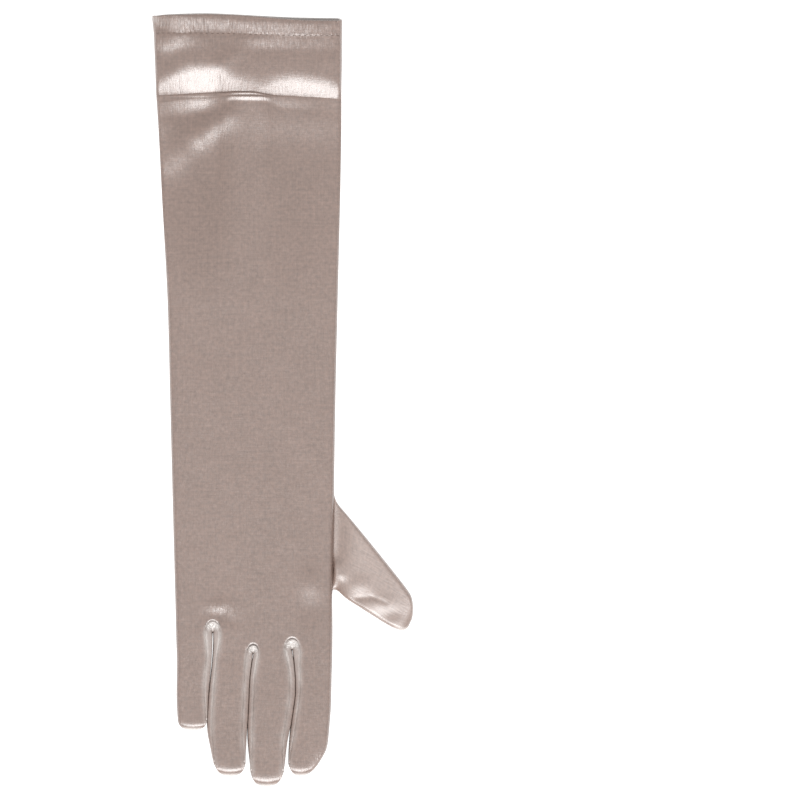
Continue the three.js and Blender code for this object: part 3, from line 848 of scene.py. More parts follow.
def smoothed_skin():
    """The skin, smoothed by one step of subdivision."""
    skin = make_skin()
    mesh = bpy.data.meshes.new("skin")
    mesh.from_pydata(skin.points, [], skin.faces)
    layer = mesh.uv_layers.new(name="cloth")
    layer.data.foreach_set("uv", np.array(skin.threads, np.float32).ravel())
    mesh.attributes.new("piece", "INT", "FACE").data.foreach_set("value", skin.pieces)
    holder = bpy.data.objects.new("skin", mesh)
    bpy.context.collection.objects.link(holder)
    only(holder)
    smoothing = holder.modifiers.new("smoothing", "SUBSURF")
    smoothing.levels = smoothing.render_levels = 1
    bpy.ops.object.modifier_apply(modifier=smoothing.name)
    mesh = holder.data
    points = array_of(mesh.vertices, "co", 3, np.float32)
    faces = array_of(mesh.polygons, "vertices", 4, np.int32)
    threads = array_of(mesh.uv_layers["cloth"].data, "uv", 2, np.float32)
    pieces = array_of(mesh.attributes["piece"].data, "value", 1, np.int32)
    bpy.data.objects.remove(holder)
    bpy.data.meshes.remove(mesh)
    return Surface(
        points.reshape(-1, 3).astype(float), faces.reshape(-1, 4), pieces,
        threads.reshape(-1, 4, 2), skin.closings,
    )


def only(thing):
    """Makes one object the selected and active one."""
    for other in bpy.context.selected_objects:
        other.select_set(False)
    thing.select_set(True)
    bpy.context.view_layer.objects.active = thing


def distance_to(spots, points, reach=4.0):
    """How far each point is from the nearest of the spots, up to a reach."""
    tree = kdtree.KDTree(len(spots))
    for i, spot in enumerate(spots):
        tree.insert(spot, i)
    tree.balance()
    return np.array([min(reach, tree.find(point)[2]) for point in points])


def of_pieces(surface, pieces):
    """Which points of the surface lie on these pieces."""
    inside = np.zeros(len(surface.points), bool)
    inside[surface.faces[np.isin(surface.pieces, pieces)].ravel()] = True
    return inside


def strip_seams(surface):
    """The points along the strips' seams."""
    return list(surface.points[of_pieces(surface, STRIPS) & of_pieces(surface, [TRANK])])


SPOTS_APART = 0.7  # at most this far apart along a seam


def plain_seams(surface):
    """Spots along the thumb's seam, and where the thumb and the fingertips are sewn shut."""
    spots = list(surface.points[of_pieces(surface, [THUMB]) & of_pieces(surface, [TRANK])])
    for line in surface.closings:
        for a, b in zip(line, line[1:]):
            steps = max(1, math.ceil(math.dist(a, b) / SPOTS_APART))
            spots.extend(lerp(np.array(a), np.array(b), k / steps) for k in range(steps + 1))
    return spots


SEAM_GROOVE = {"depth": 0.1, "width": 0.8}
SEAM_RIDGE = {"height": 0.22, "width": 1.2}
# The ridge comes and goes along its seam: over what length, how strong it is on the whole, how much
# that changes, and the least and the most that it comes to
SEAM_SWELL = {"length": 11, "usual": 0.75, "change": 0.9, "least": 0.3, "most": 1.1}

# An eye is the round end of a strip. Its seam turns straight over this range, from the eye's middle.
EYE_ENDS = (-0.5, 2.5)
FAR = 99.0  # a distance at which no eye counts

# Painted highlight: how much paler some places are painted where the cloth looks lit, and where that
# begins and ends. The palm's rim past the cuff is painted pale over its shade.
PALE = {"strips": 0.22, "palm_rim": 0.8, "eyes": 0.72, "ridges": 0.3, "tips": 0.8}
PAINTED_HIGHLIGHT_SPOTS = (
    {"across": -52.5, "along": 4, "widths": (2.5, 2.5), "share": 0.3},
    {"across": 75.5, "along": 342.5, "widths": (6, 3.5), "share": 0.14},
    {"across": 88.0, "along": 352.5, "widths": (5, 1.6), "share": 0.6},
)
# where the strips' painted highlight fades out
STRIP_HIGHLIGHT_FADES = (358, 400)  # along the glove
PALM_RIM_ENDS = (0.3, 1.6)  # from the cuff's edge
EYE_RIM = (-0.8, -0.3)  # from an eye's seam, inside it
TIP_BAND = (-3.0, -0.5)  # from a finger's end

# Where the cloth is gathered into fine puckers besides the eyes, and how much
HEM_GATHERS = {"begins": (1, 3), "ends": (-1.5, -0.2), "share": 0.75}  # from the edge, from the stitching
PAST_HEM_GATHERS = {"begins": (0.2, 2), "ends": (7, 14), "share": 0.6}  # both from the stitching
CREASE_GATHERS = {"begins": (-26, -14), "ends": (0, 9), "share": 0.12}  # both from the crease
KNUCKLE_GATHERS = {"across": -13, "along": 341, "widths": (9, 6), "share": 0.8}

BACK_BEGINS = (0.15, 0.6)  # how far up the cloth faces at the edge of the back, and on it
OFF_THE_ARCH = 4  # added to the distance from an eye's seam where it doesn't run


def eye_places(across, along):
    """For each point, how far it lies outside the nearest eye's round seam, or inside it if that is
    less than nothing, and whether it is on the cuff's side of the eye's middle."""
    outside = np.full(len(across), FAR)
    rounded = np.zeros(len(across))
    for crotch in CROTCHES:
        dx, dy = across - crotch["across"], along - root_of(crotch)
        away = np.hypot(dx, dy) - crotch["inset"]
        nearest = away < outside
        outside = np.where(nearest, away, outside)
        rounded = np.where(nearest, 1 - smooth(*EYE_ENDS, dy), rounded)
    return outside, rounded


def seam_swell(points):
    """How proud a seam's ridge stands at each point: it comes and goes along the seam."""
    changes = np.array([noise.noise(Vector(spot)) for spot in points / SEAM_SWELL["length"]])
    swell = SEAM_SWELL["usual"] + SEAM_SWELL["change"] * changes
    return np.clip(swell, SEAM_SWELL["least"], SEAM_SWELL["most"])


def tip_share(across, along):
    """One at a finger's end, falling to nothing a little way up the finger."""
    share = np.zeros(len(across))
    for finger in FINGERS:
        left, right = finger["left"][-1], finger["right"][-1]
        near = np.abs(across - (left + right) / 2) < (right - left) / 2
        share = np.maximum(share, near * smooth(*TIP_BAND, along - finger["tip"]))
    return share


def painted_highlight_shares(surface, across, along, on_back, in_eye, in_ridge):
    """How pale each point is painted, from nothing to one: painted highlight on the strips, the eyes, the
    seam ridges, the fingertips and some spots, and painted light over the shade on the palm's rim.
    """
    in_strip = of_pieces(surface, STRIPS) * on_back * (1 - smooth(*STRIP_HIGHLIGHT_FADES, along))
    palm_rim = (1 - on_back) * (1 - smooth(*PALM_RIM_ENDS, along - read(CUFF_EDGE, "palm", across)))
    pale = PALE["strips"] * in_strip * (1 - in_eye) + PALE["palm_rim"] * palm_rim
    pale += PALE["eyes"] * in_eye + PALE["ridges"] * in_ridge + PALE["tips"] * tip_share(across, along)
    pale += sum(spot["share"] * in_spot(across, along, spot) for spot in PAINTED_HIGHLIGHT_SPOTS)
    return np.clip(pale, 0, 1)


def gathering(across, along, in_eye):
    """How much the cloth is gathered at each point, from nothing to one."""
    below_hem = along - HEM_DEPTH - hem_slant(across)
    gathered = in_eye + KNUCKLE_GATHERS["share"] * in_spot(across, along, KNUCKLE_GATHERS)
    for gathers, begins_at, ends_at in (
        (HEM_GATHERS, along, below_hem),
        (PAST_HEM_GATHERS, below_hem, below_hem),
        (CREASE_GATHERS, along - CREASE_ALONG, along - CREASE_ALONG),
    ):
        within = smooth(*gathers["begins"], begins_at) * (1 - smooth(*gathers["ends"], ends_at))
        gathered += gathers["share"] * within
    return np.clip(gathered, 0, 1)


def shaped_skin(crease_depth, unevenness):
    """The smoothed skin with its folds, its creases and the grooves of its seams."""
    surface = smoothed_skin()
    across, along = surface.points[:, 0], -surface.points[:, 1]
    on_back = smooth(*BACK_BEGINS, surface.normals()[:, 2])
    on_thumb = of_pieces(surface, [THUMB]) & ~of_pieces(surface, [TRANK])
    raised = np.where(on_thumb, thumb_relief(across, along), relief(across, along, crease_depth))
    surface.points[:, 2] += raised * on_back
    surface.points[:, 2] += unevenness * undulation(surface.points) * on_back
    surface.points[:, 1] += crease_depth * crease_overhang(across, along) * on_back
    outside, rounded = eye_places(across, along)
    from_strip = distance_to(strip_seams(surface), surface.points)
    from_plain = distance_to(plain_seams(surface), surface.points)
    in_ridge = bump(from_strip, SEAM_RIDGE["width"]) * (1 - rounded) * seam_swell(surface.points)
    groove = SEAM_GROOVE["depth"] * bump(from_plain, SEAM_GROOVE["width"])
    surface.points += surface.normals() * (SEAM_RIDGE["height"] * in_ridge - groove)[:, None]

    palm_groove = PALM_GROOVE["depth"] * bump(along - HEM_DEPTH, PALM_GROOVE["spread"])
    surface.points[:, 2] = np.maximum(surface.points[:, 2], FLOOR_CLEARANCE) + palm_groove * (1 - on_back)

    in_eye = rounded * on_back * (1 - smooth(*EYE_RIM, outside))
    # pale carries the painted highlight, and from_arch says where the painted shade round the eyes goes
    surface.marks = {
        "pale": painted_highlight_shares(surface, across, along, on_back, in_eye, in_ridge),
        "gathered": gathering(across, along, in_eye) * on_back,
        "from_arch": np.abs(outside) + OFF_THE_ARCH * (1 - rounded) + OFF_THE_ARCH * (1 - on_back),
    }
    low, high = surface.points.min(axis=0), surface.points.max(axis=0)
    surface.shift = -np.array([(low[0] + high[0]) / 2, (low[1] + high[1]) / 2, 0])
    surface.points += surface.shift
    return surface


SEAM_GAP = 0.14
RIM_STEPS = 3
RIM_BULGE = 0.12  # how far a sewn edge is rounded out
CUFF_BULGE = 0.5
HEM_WALL_ENDS = (-0.4, 0.6)  # from the stitching on the palm


def square_to(vectors, directions):
    """The vectors without what they have in these directions."""
    directions = unit(directions)
    return vectors - directions * (vectors * directions).sum(axis=1, keepdims=True)


def off_the_edge(surface, faces, edge_a, edge_b):
    """For each point on the edge of a piece, which way leads straight into its cloth."""
    inwards, along = np.zeros_like(surface.points), np.zeros_like(surface.points)
    centres = surface.points[faces].mean(axis=1)
    for k in range(4):
        np.add.at(inwards, faces[:, k], unit(centres - surface.points[faces[:, k]]))
    side = unit(surface.points[edge_b] - surface.points[edge_a])
    np.add.at(along, edge_a, side)
    np.add.at(along, edge_b, side)
    inwards = unit(square_to(square_to(inwards, surface.normals()), along))
    elsewhere = np.ones(len(inwards), bool)
    elsewhere[edge_a] = elsewhere[edge_b] = False
    inwards[elsewhere] = 0
    return inwards


def numbered(chosen, count):
    """For each of so many points, its place among the chosen ones."""
    numbers = np.full(count, -1)
    numbers[chosen] = np.arange(len(chosen))
    return numbers


def sewn_piece(surface, piece, name, wall, hem_wall):
    """A piece as a closed mesh: its outside, its inside, and its rounded edge, which is drawn back a
    little where another piece is sewn on."""
    own = surface.pieces == piece
    faces, threads = surface.faces[own], surface.threads[own]
    count = len(surface.points)
    a, b = faces.ravel(), np.roll(faces, -1, axis=1).ravel()
    after = np.roll(np.arange(len(a)).reshape(-1, 4), -1, axis=1).ravel()
    open_side = ~np.isin(b.astype(np.int64) * count + a, a.astype(np.int64) * count + b)
    edge_a, edge_b = a[open_side], b[open_side]
    shared = np.zeros(count, bool)
    shared[surface.faces[~own].ravel()] = True

    inwards = off_the_edge(surface, faces, edge_a, edge_b)
    outside = surface.points + np.where(shared, SEAM_GAP / 2, 0)[:, None] * inwards
    down = surface.points[:, 1].max() - surface.points[:, 1]
    in_hem = (1 - smooth(*HEM_WALL_ENDS, down - HEM_DEPTH)) if piece == TRANK else np.zeros(count)
    inside = outside - surface.normals() * (lerp(wall, hem_wall, in_hem) / MM)[:, None]

    used, rim = np.unique(faces), np.unique(edge_a)
    number, rim_number = numbered(used, count), numbered(rim, count)
    points = [outside[used], inside[used]]
    rings = [number]
    bulge = np.where(shared, RIM_BULGE, CUFF_BULGE)[rim, None]
    for k in range(1, RIM_STEPS):
        t = k / RIM_STEPS
        points.append(lerp(outside[rim], inside[rim], t) - inwards[rim] * bulge * math.sin(math.pi * t))
        rings.append(rim_number + 2 * len(used) + (k - 1) * len(rim))
    rings.append(number + len(used))
    quads = [number[faces], (number[faces] + len(used))[:, ::-1]]
    uvs = [threads, threads[:, ::-1]]
    flat_threads = threads.reshape(-1, 2)
    uv_a, uv_b = flat_threads[open_side], flat_threads[after[open_side]]
    for upper, lower in zip(rings, rings[1:]):
        quads.append(np.stack([upper[edge_b], upper[edge_a], lower[edge_a], lower[edge_b]], axis=1))
        uvs.append(np.stack([uv_b, uv_a, uv_a, uv_b], axis=1))
    everywhere = np.concatenate(points)
    everywhere[:, 2] = np.maximum(everywhere[:, 2], FLOOR_CLEARANCE)
    mesh = bpy.data.meshes.new(name)
    mesh.from_pydata((everywhere * MM).tolist(), [], np.concatenate(quads).tolist())
    layer = mesh.uv_layers.new(name="cloth")
    layer.data.foreach_set("uv", (np.concatenate(uvs) * MM).astype(np.float32).ravel())
    for label, values in surface.marks.items():
        at_points = np.concatenate([values[used], values[used], np.tile(values[rim], RIM_STEPS - 1)])
        mark = mesh.attributes.new(label, "FLOAT", "POINT")
        mark.data.foreach_set("value", at_points.astype(np.float32))
    thing = bpy.data.objects.new(name, mesh)
    bpy.context.collection.objects.link(thing)
    only(thing)
    bpy.ops.object.shade_smooth()
    return thing


STITCH_SUNK = 0.2  # how deep a stitch is pulled into the cloth, as a share of its thread
STITCH_AHEAD = 0.5  # how far ahead of a stitch its direction is read
WELL_CLEAR = 40  # how far above or below the glove a ray begins


def one_stitch(length, thread):
    """A stitch as it shows: a short rounded length of thread."""
    bpy.ops.mesh.primitive_uv_sphere_add(segments=8, ring_count=6, radius=0.5)
    stitch = bpy.context.object
    stitch.scale = (length, thread, thread)
    bpy.ops.object.transform_apply(location=False, rotation=False, scale=True)
    bpy.ops.object.shade_smooth()
    return stitch


def hem_line(surface, across, on_back):
    """A place on the hem's line of stitching, and which way the cloth faces there."""
    along = HEM_DEPTH + float(hem_slant(across)) if on_back else HEM_DEPTH
    x, y, _ = Vector((across, -along, 0)) + Vector(surface.shift)
    above = WELL_CLEAR if on_back else -WELL_CLEAR
    spot, facing, _, _ = surface.tree().ray_cast(Vector((x, y, above)), Vector((0, 0, -above)))
    return spot, facing


def stitched_hem(surface, length, spacing, thread):
    """The hem's stitches, all made from one, in a row on the back and in a row on the palm."""
    stitch = one_stitch(length, thread)
    row = bmesh.new()
    left, right = seams_at(HEM_DEPTH)
    count = int((right - left) * MM / spacing)
    for on_back in (True, False):
        for i in range(count + 1):
            across = lerp(left, right, i / count)
            spot, facing = hem_line(surface, across, on_back)
            ahead, _ = hem_line(surface, across + STITCH_AHEAD, on_back)
            run = (ahead - spot).normalized()
            turn = Matrix((run, facing.cross(run).normalized(), facing)).transposed().to_4x4()
            sunk = spot * MM - facing * thread * STITCH_SUNK
            copy = stitch.data.copy()
            copy.transform(Matrix.Translation(sunk) @ turn)
            row.from_mesh(copy)
            bpy.data.meshes.remove(copy)
    row.to_mesh(stitch.data)
    row.free()
    stitch.name = "hem_stitches"
    return stitch


class Finish:
    """A material with its shader, and short ways to add nodes to it."""

    def __init__(self, name):
        self.material = bpy.data.materials.new(name)
        self.material.use_nodes = True
        self.tree = self.material.node_tree
        self.shader = self.tree.nodes["Principled BSDF"]

    def feed(self, node, inputs):
        """Gives a node's inputs their values, or links them to the outputs of other nodes."""
        for key, value in inputs.items():
            if isinstance(value, bpy.types.NodeSocket):
                self.tree.links.new(value, node.inputs[key])
            else:
                node.inputs[key].default_value = value

    def add(self, kind, inputs, output=0, **settings):
        """Adds a node with its settings and inputs, and returns one of its outputs."""
        node = self.tree.nodes.new("ShaderNode" + kind)
        for name, value in settings.items():
            setattr(node, name, value)
        self.feed(node, inputs)
        return node.outputs[output]

    def calculated(self, operation, first, second):
        """What comes of two numbers or outputs."""
        return self.add("Math", {0: first, 1: second}, operation=operation)

    def mixed(self, factor, low, high):
        """A colour between two others. The node has several sockets of each name, hence the numbers."""
        return self.add("Mix", {0: factor, 6: low, 7: high}, 2, data_type="RGBA")

    def reading(self, label):
        """What the mesh says at each point under this label."""
        return self.add("Attribute", {}, "Fac", attribute_name=label)

    def embossed(self, height, strength, depth, below=None):
        """A relief, on top of another one if there is one below."""
        inputs = {"Height": height, "Strength": strength, "Distance": depth}
        return self.add("Bump", {**inputs, "Normal": below} if below else inputs, "Normal")


def toned(colour, shades=(1, 1, 1)):
    """A colour with each of its channels made paler or darker, for a node's input."""
    return (*(channel * shade for channel, shade in zip(colour, shades)), 1)


TWISTS = {"Scale": 900, "Distortion": 1.5}
# painted shade between the plies of the thread, and painted highlight on them
PLY_SHADES = (0.95, 1.6)  # between the plies and on them
PLY_STRENGTH = 0.5
PLY_DEPTH = 0.1 * MM


def thread_finish(name, colour):
    """Twisted sewing thread. Its colour is darkened for painted shade, with painted highlight on its plies
    and painted shade between them.
    """
    finish = Finish(name)
    twists = {"Vector": finish.add("TexCoord", {}, "Object"), **TWISTS}
    twist = finish.add("TexWave", twists, "Fac", bands_direction="DIAGONAL")
    shades = finish.add("ValToRGB", {"Fac": twist}, "Color")
    for element, shade in zip(shades.node.color_ramp.elements, PLY_SHADES):
        element.color = toned(colour, (shade, shade, shade))
    ply = finish.embossed(twist, PLY_STRENGTH, PLY_DEPTH)
    finish.feed(finish.shader, {"Base Color": shades, "Normal": ply, "Roughness": 0.5})
    return finish.material


# The noises that the cloth is made of: how many waves to a metre across and along its threads, and in
# how much detail
CLOTH_NOISES = {
    "ribs": (1100, 170, 3),
    "wefts": (260, 1200, 3),
    "grain": (900, 700, 4),
    "mottling": (110, 80, 4),
    "clouds": (30, 18, 2),
    "threads_along": (1100, 50, 1),
    "threads_across": (50, 1100, 1),
    "speckles": (430, 520, 3),
}
GATHERS_DETAIL = 2
SHEEN = {"IOR": 1.8, "Specular IOR Level": 1.0, "Anisotropic": 0.4}
WEAVE = {"threads": 0.35, "speckles": 0.95, "less": 0.325}  # what the weave's light and dark is made of
RELIEF = {"wefts": 0.07 * MM, "ribs": 0.4 * MM, "mottling": 0.5 * MM}
MOTTLING_STRENGTH = 0.3

# Shades of the cloth's own colour: the weave's dark and its pale, each from the clouds' darkest to
# their palest. Last comes the painted shade of the groove in the seam round the eyes.
DARK_SHADES = ((0.42, 0.42, 0.41), (0.72, 0.75, 0.78))
PALE_SHADES = ((1.22, 1.21, 1.18), (1.6, 1.63, 1.66))
ARCH_SHADE_TONE = (0.3, 0.28, 0.27)
# painted highlight: the near-white colours that the cloth is mixed towards where it is painted as lit
PAINTED_HIGHLIGHT_COLOURS = ((0.5, 0.45, 0.42), (0.9, 0.87, 0.84))  # colours of the palest cloth
# painted shade of the eyes' seam grooves: the distance from the seam over which it sets in, and how much
ARCH_SHADE_RANGE = {"From Min": 0.6, "From Max": 0.2, "To Max": 0.85}  # from an eye's seam, and how much


def satin(name, colour, rib, shine, gathers):
    """Stretch satin: a taupe cloth with fine ribs along its threads and a soft sheen across them.
    Gathers are its puckers: how many to a metre, how deep, and whether they follow the threads."""
    finish = Finish(name)
    threads = finish.add("UVMap", {}, "UV", uv_map="cloth")

    def cloth_noise(across, along, detail, source=threads):
        scaled = finish.add("Mapping", {"Scale": (across, along, 1), "Vector": source}, "Vector")
        return finish.add("TexNoise", {"Scale": 1, "Detail": detail, "Vector": scaled}, "Fac")

    noises = {label: cloth_noise(*sizes) for label, sizes in CLOTH_NOISES.items()}

    def share_of_sum(share, first, second):
        """Two outputs added up, and then a share of that."""
        return finish.calculated("MULTIPLY", finish.calculated("ADD", first, second), share)

    woven = share_of_sum(WEAVE["threads"], noises["threads_along"], noises["threads_across"])
    speckled = finish.calculated("MULTIPLY", noises["speckles"], WEAVE["speckles"])
    weave = finish.calculated("SUBTRACT", finish.calculated("ADD", woven, speckled), WEAVE["less"])
    clouds = share_of_sum(0.5, noises["clouds"], noises["mottling"])
    dark, pale = (
        finish.mixed(clouds, toned(colour, low), toned(colour, high))
        for low, high in (DARK_SHADES, PALE_SHADES)
    )
    plain = finish.mixed(weave, dark, pale)
    # painted highlight: where the mesh is marked pale, the cloth's colour is mixed towards near-white
    highlight_colour = finish.mixed(noises["grain"], toned(PAINTED_HIGHLIGHT_COLOURS[0]), toned(PAINTED_HIGHLIGHT_COLOURS[1]))
    seen = finish.mixed(finish.reading("pale"), plain, highlight_colour)
    # painted shade: the cloth is darkened along the round seam of each eye, for the shade in its groove
    by_arch = {"Value": finish.reading("from_arch"), **ARCH_SHADE_RANGE}
    arch_shade = finish.add("MapRange", by_arch, "Result", interpolation_type="SMOOTHSTEP")
    seen = finish.mixed(arch_shade, seen, toned(colour, ARCH_SHADE_TONE))

    cloth = finish.embossed(noises["wefts"], rib, RELIEF["wefts"])
    cloth = finish.embossed(noises["ribs"], rib, RELIEF["ribs"], cloth)
    cloth = finish.embossed(noises["mottling"], MOTTLING_STRENGTH, RELIEF["mottling"], cloth)
    source = threads if gathers["on_threads"] else finish.add("TexCoord", {}, "Object")
    folds = finish.calculated("SUBTRACT", cloth_noise(*gathers["scale"], GATHERS_DETAIL, source), 0.5)
    puckers = finish.calculated("MULTIPLY", finish.reading("gathered"), folds)
    cloth = finish.embossed(puckers, 1.0, gathers["depth"], cloth)
    tangent = finish.add("Tangent", {}, "Tangent", direction_type="UV_MAP", uv_map="cloth")
    looks = {"Base Color": seen, "Normal": cloth, "Tangent": tangent, "Roughness": shine, **SHEEN}
    finish.feed(finish.shader, looks)
    return finish.material


STREAKS = {"scale": (900, 90), "depth": 0.8 * MM, "on_threads": True}
GRANULES = {"scale": (900, 900), "depth": 0.9 * MM, "on_threads": False}
RIBS = {"trank": 0.52, "thumb": 0.2, "fourchettes": 0.5}  # how strongly they show
skin_cache = {}  # the skins that have been shaped, by crease depth and unevenness


def skin_now(cloth):
    """The shaped skin for the sizes that are set now."""
    key = (cloth.crease_depth, cloth.unevenness)
    if key not in skin_cache:
        skin_cache[key] = shaped_skin(cloth.crease_depth, cloth.unevenness)
    return skin_cache[key]


def clothe(thing, node, material):
    """Gives a sewn piece its finish, hides the part of the frame that it stands for, and hangs it from the
    root.
    """
    thing.data.materials.append(material)
    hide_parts(node)
    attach(thing, "root")


def colour_property(name, description, default):
    """A colour in the panel."""
    return FloatVectorProperty(
        name=name, description=description, subtype="COLOR", min=0, max=1, default=default
    )


def length_property(name, description, least, most, default):
    """A length in the panel, in metres."""
    return FloatProperty(
        name=name, description=description, unit="LENGTH", min=least, max=most, precision=4,
        default=default,
    )


def share_property(name, description, least, most, default):
    """A plain number in the panel, with a slider."""
    return FloatProperty(
        name=name, description=description, subtype="FACTOR", min=least, max=most, default=default
    )


class GloveCloth(bpy.types.PropertyGroup):
    """The glove's cloth, its sewing and how it is folded"""

    satin_colour: colour_property(
        "Satin", "Colour of the sleeve, the hand and the strips between the fingers",
        (0.209, 0.133, 0.105),
    )
    # painted sheen: the thumb is the same satin, given a paler colour because its threads run another way
    # and catch more light
    thumb_sheen_colour: colour_property(
        "Thumb", "Colour of the thumb, whose cloth runs another way and looks paler",
        (0.28, 0.195, 0.162),
    )
    # painted shade: the thread is given a colour darker than the cloth's, for the shade that it lies in
    # along the hem
    thread_shaded_colour: colour_property("Thread", "Colour of the hem's stitches", (0.1, 0.068, 0.055))
    roughness: share_property("Roughness", "How dull the satin is", 0.1, 1, 0.4)
    wall: length_property("Wall", "Thickness of the cloth", 0.0003, 0.002, 0.0009)
    hem_wall: length_property(
        "Hem", "Thickness of the cloth where it is turned in at the cuff", 0.0003, 0.003, 0.0016
    )
    stitch_length: length_property(
        "Stitch", "Length of one stitch of the hem", 0.001, 0.005, 0.0021
    )
    stitch_spacing: length_property(
        "Stitch spacing", "From the middle of one stitch to the middle of the next",
        0.0015, 0.01, 0.0031,
    )
    thread_thickness: length_property(
        "Thread thickness", "Thickness of the hem's thread", 0.0001, 0.001, 0.00045
    )
    crease_depth: share_property(
        "Crease depth", "How deep the packing creases are. At 1 they are as in the picture", 0, 1.5, 1
    )
    unevenness: share_property(
        "Unevenness", "How unevenly the cloth lies. At 1 it is as in the picture", 0, 3, 1
    )


class GloveStage(bpy.types.PropertyGroup):
    """The studio round the glove"""

    light_power: FloatProperty(
        name="Light", description="Power of the large soft light", unit="POWER", min=0, default=4150
    )
    surroundings: FloatProperty(
        name="Surroundings", description="How bright the pale studio is", min=0, max=3, default=0.6
    )
    paper_glow: FloatProperty(
        name="Paper", description="How brightly the white paper is lit from below",
        min=0, max=2, default=0.9,
    )
    lens: FloatProperty(
        name="Lens", description="Length of the lens. The camera stands further off with a long one",
        unit="CAMERA", min=50, max=1000, default=500,
    )


class GLOVE_OT_stitches(bpy.types.Operator):
    """Sew the hem: one stitch, copied round the cuff"""

    bl_idname = "glove.stitches"
    bl_label = "Hem Stitches"

    def execute(self, context):
        cloth = context.scene.glove_cloth
        sizes = (cloth.stitch_length, cloth.stitch_spacing, cloth.thread_thickness)
        thing = stitched_hem(skin_now(cloth), *sizes)
        thing.data.materials.append(thread_finish("sewing_thread", cloth.thread_shaded_colour))
        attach(thing, "root")
        return {"FINISHED"}


class GLOVE_OT_trank(bpy.types.Operator):
    """Make the trank: the sleeve, the hand, and the backs and palms of the fingers, in one piece"""

    bl_idname = "glove.trank"
    bl_label = "Trank"

    def execute(self, context):
        cloth = context.scene.glove_cloth
        thing = sewn_piece(skin_now(cloth), TRANK, "trank_satin", cloth.wall, cloth.hem_wall)
        finish = satin("satin", cloth.satin_colour, RIBS["trank"], cloth.roughness, STREAKS)
        clothe(thing, "trank", finish)
        return {"FINISHED"}


class GLOVE_OT_thumb(bpy.types.Operator):
    """Make the thumb, which is sewn into the hole in the edge of the palm"""

    bl_idname = "glove.thumb"
    bl_label = "Thumb"

    def execute(self, context):
        cloth = context.scene.glove_cloth
        thing = sewn_piece(skin_now(cloth), THUMB, "thumb_satin", cloth.wall, cloth.wall)
        finish = satin("thumb_satin", cloth.thumb_sheen_colour, RIBS["thumb"], cloth.roughness, STREAKS)
        clothe(thing, "thumb", finish)
        return {"FINISHED"}


class GLOVE_OT_fourchettes(bpy.types.Operator):
    """Make the three strips between the fingers"""

    bl_idname = "glove.fourchettes"
    bl_label = "Fourchettes"

    def execute(self, context):
        cloth = context.scene.glove_cloth
        rib = RIBS["fourchettes"]
        finish = satin("fourchette_satin", cloth.satin_colour, rib, cloth.roughness, GRANULES)
        for c, crotch in enumerate(CROTCHES):
            name = crotch["name"] + "_satin"
            thing = sewn_piece(skin_now(cloth), FIRST_STRIP + c, name, cloth.wall, cloth.wall)
            clothe(thing, crotch["name"], finish)
        return {"FINISHED"}


FLOOR_SIZE = 8
PAPER = {
    "Base Color": (0.5, 0.5, 0.5, 1),
    "Roughness": 0.9,
    "Specular IOR Level": 0.0,
    "Emission Color": (1, 1, 1, 1),
}
SOFTBOX = {"size": (16.0, 8.8), "place": (0, -11.2, 16.6)}  # in metres
PICTURE = {"across": 0.06715, "along": -0.0002, "width": 0.4568, "height": 0.005}  # its middle, in metres
SENSOR = 36  # millimetres


def set_floor(glow):
    """White paper under the glove, lit so that it is white all over."""
    bpy.ops.mesh.primitive_plane_add(size=FLOOR_SIZE, location=(0, 0, 0))
    floor = bpy.context.object
    floor.name = "floor"
    paper = Finish("white_paper")
    paper.feed(paper.shader, {**PAPER, "Emission Strength": glow})
    floor.data.materials.append(paper.material)


def set_surroundings(scene, strength):
    """An even white light from all round."""
    world = scene.world or bpy.data.worlds.new("studio")
    scene.world = world
    world.use_nodes = True
    background = world.node_tree.nodes["Background"]
    background.inputs["Color"].default_value = (1, 1, 1, 1)
    background.inputs["Strength"].default_value = strength


def add_softbox(name, size, place, power):
    """A large soft light that faces the glove."""
    light = bpy.data.lights.new(name, "AREA")
    light.shape = "RECTANGLE"
    light.size, light.size_y = size
    light.energy = power
    lamp = bpy.data.objects.new(name, light)
    bpy.context.collection.objects.link(lamp)
    facing = (-Vector(place)).to_track_quat("-Z", "Y")
    lamp.matrix_world = Matrix.Translation(place) @ facing.to_matrix().to_4x4()


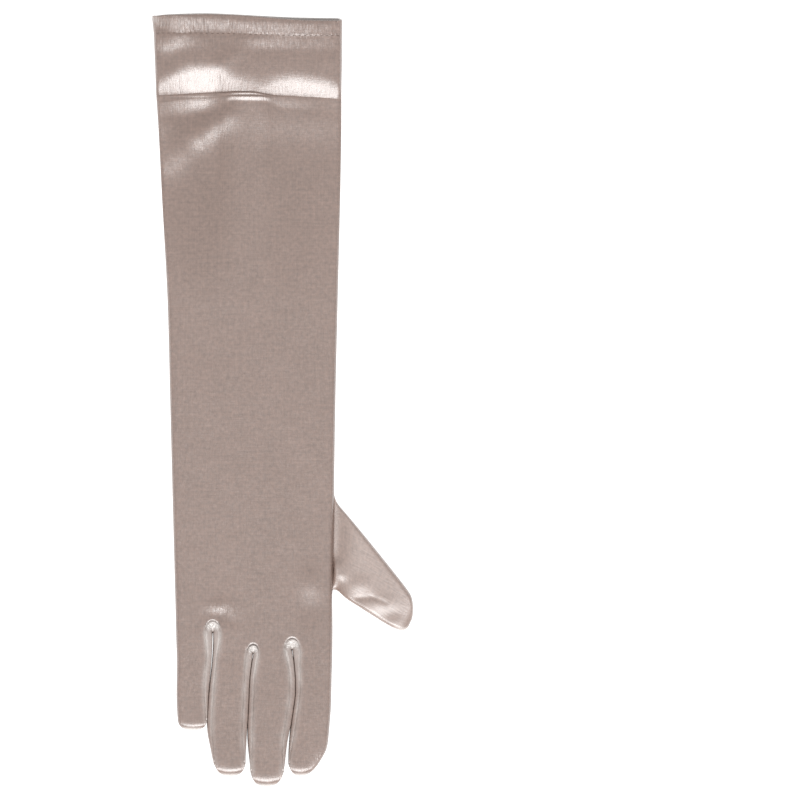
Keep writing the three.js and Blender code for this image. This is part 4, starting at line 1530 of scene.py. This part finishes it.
def add_camera(scene, lens):
    """A camera straight above, far enough off to see the picture's whole width."""
    data = bpy.data.cameras.new("camera")
    data.lens = lens
    data.sensor_width = SENSOR
    camera = bpy.data.objects.new("camera", data)
    bpy.context.collection.objects.link(camera)
    distance = PICTURE["width"] * lens / SENSOR
    camera.location = (PICTURE["across"], -PICTURE["along"], PICTURE["height"] + distance)
    scene.camera = camera


class GLOVE_OT_stage(bpy.types.Operator):
    """Set the floor, the lights and the camera"""

    bl_idname = "glove.stage"
    bl_label = "Stage"

    def execute(self, context):
        stage = context.scene.glove_stage
        set_floor(stage.paper_glow)
        set_surroundings(context.scene, stage.surroundings)
        add_softbox("softbox", SOFTBOX["size"], SOFTBOX["place"], stage.light_power)
        add_camera(context.scene, stage.lens)
        context.scene.view_settings.view_transform = "Standard"
        return {"FINISHED"}


class GLOVE_PT_panel(bpy.types.Panel):
    """The glove's sizes and colours, and a button for each of its pieces"""

    bl_idname = "GLOVE_PT_panel"
    bl_label = "Long Satin Glove"
    bl_space_type = "VIEW_3D"
    bl_region_type = "UI"
    bl_category = "Glove"

    def draw(self, context):
        for group in (context.scene.glove_cloth, context.scene.glove_stage):
            column = self.layout.column()
            for name in group.__annotations__:
                column.prop(group, name)
        for operator in OPERATORS:
            self.layout.operator(operator.bl_idname)


GROUPS = {"glove_cloth": GloveCloth, "glove_stage": GloveStage}
OPERATORS = (GLOVE_OT_stitches, GLOVE_OT_trank, GLOVE_OT_thumb, GLOVE_OT_fourchettes, GLOVE_OT_stage)


def register():
    for name, group in GROUPS.items():
        bpy.utils.register_class(group)
        setattr(bpy.types.Scene, name, PointerProperty(type=group))
    for other in (*OPERATORS, GLOVE_PT_panel):
        bpy.utils.register_class(other)


def unregister():
    for other in (GLOVE_PT_panel, *reversed(OPERATORS)):
        bpy.utils.unregister_class(other)
    for name, group in reversed(GROUPS.items()):
        delattr(bpy.types.Scene, name)
        bpy.utils.unregister_class(group)


def main():
    register()
    bpy.ops.glove.stitches()
    bpy.ops.glove.trank()
    bpy.ops.glove.thumb()
    bpy.ops.glove.fourchettes()
    bpy.ops.glove.stage()


if __name__ == "__main__":
    main()
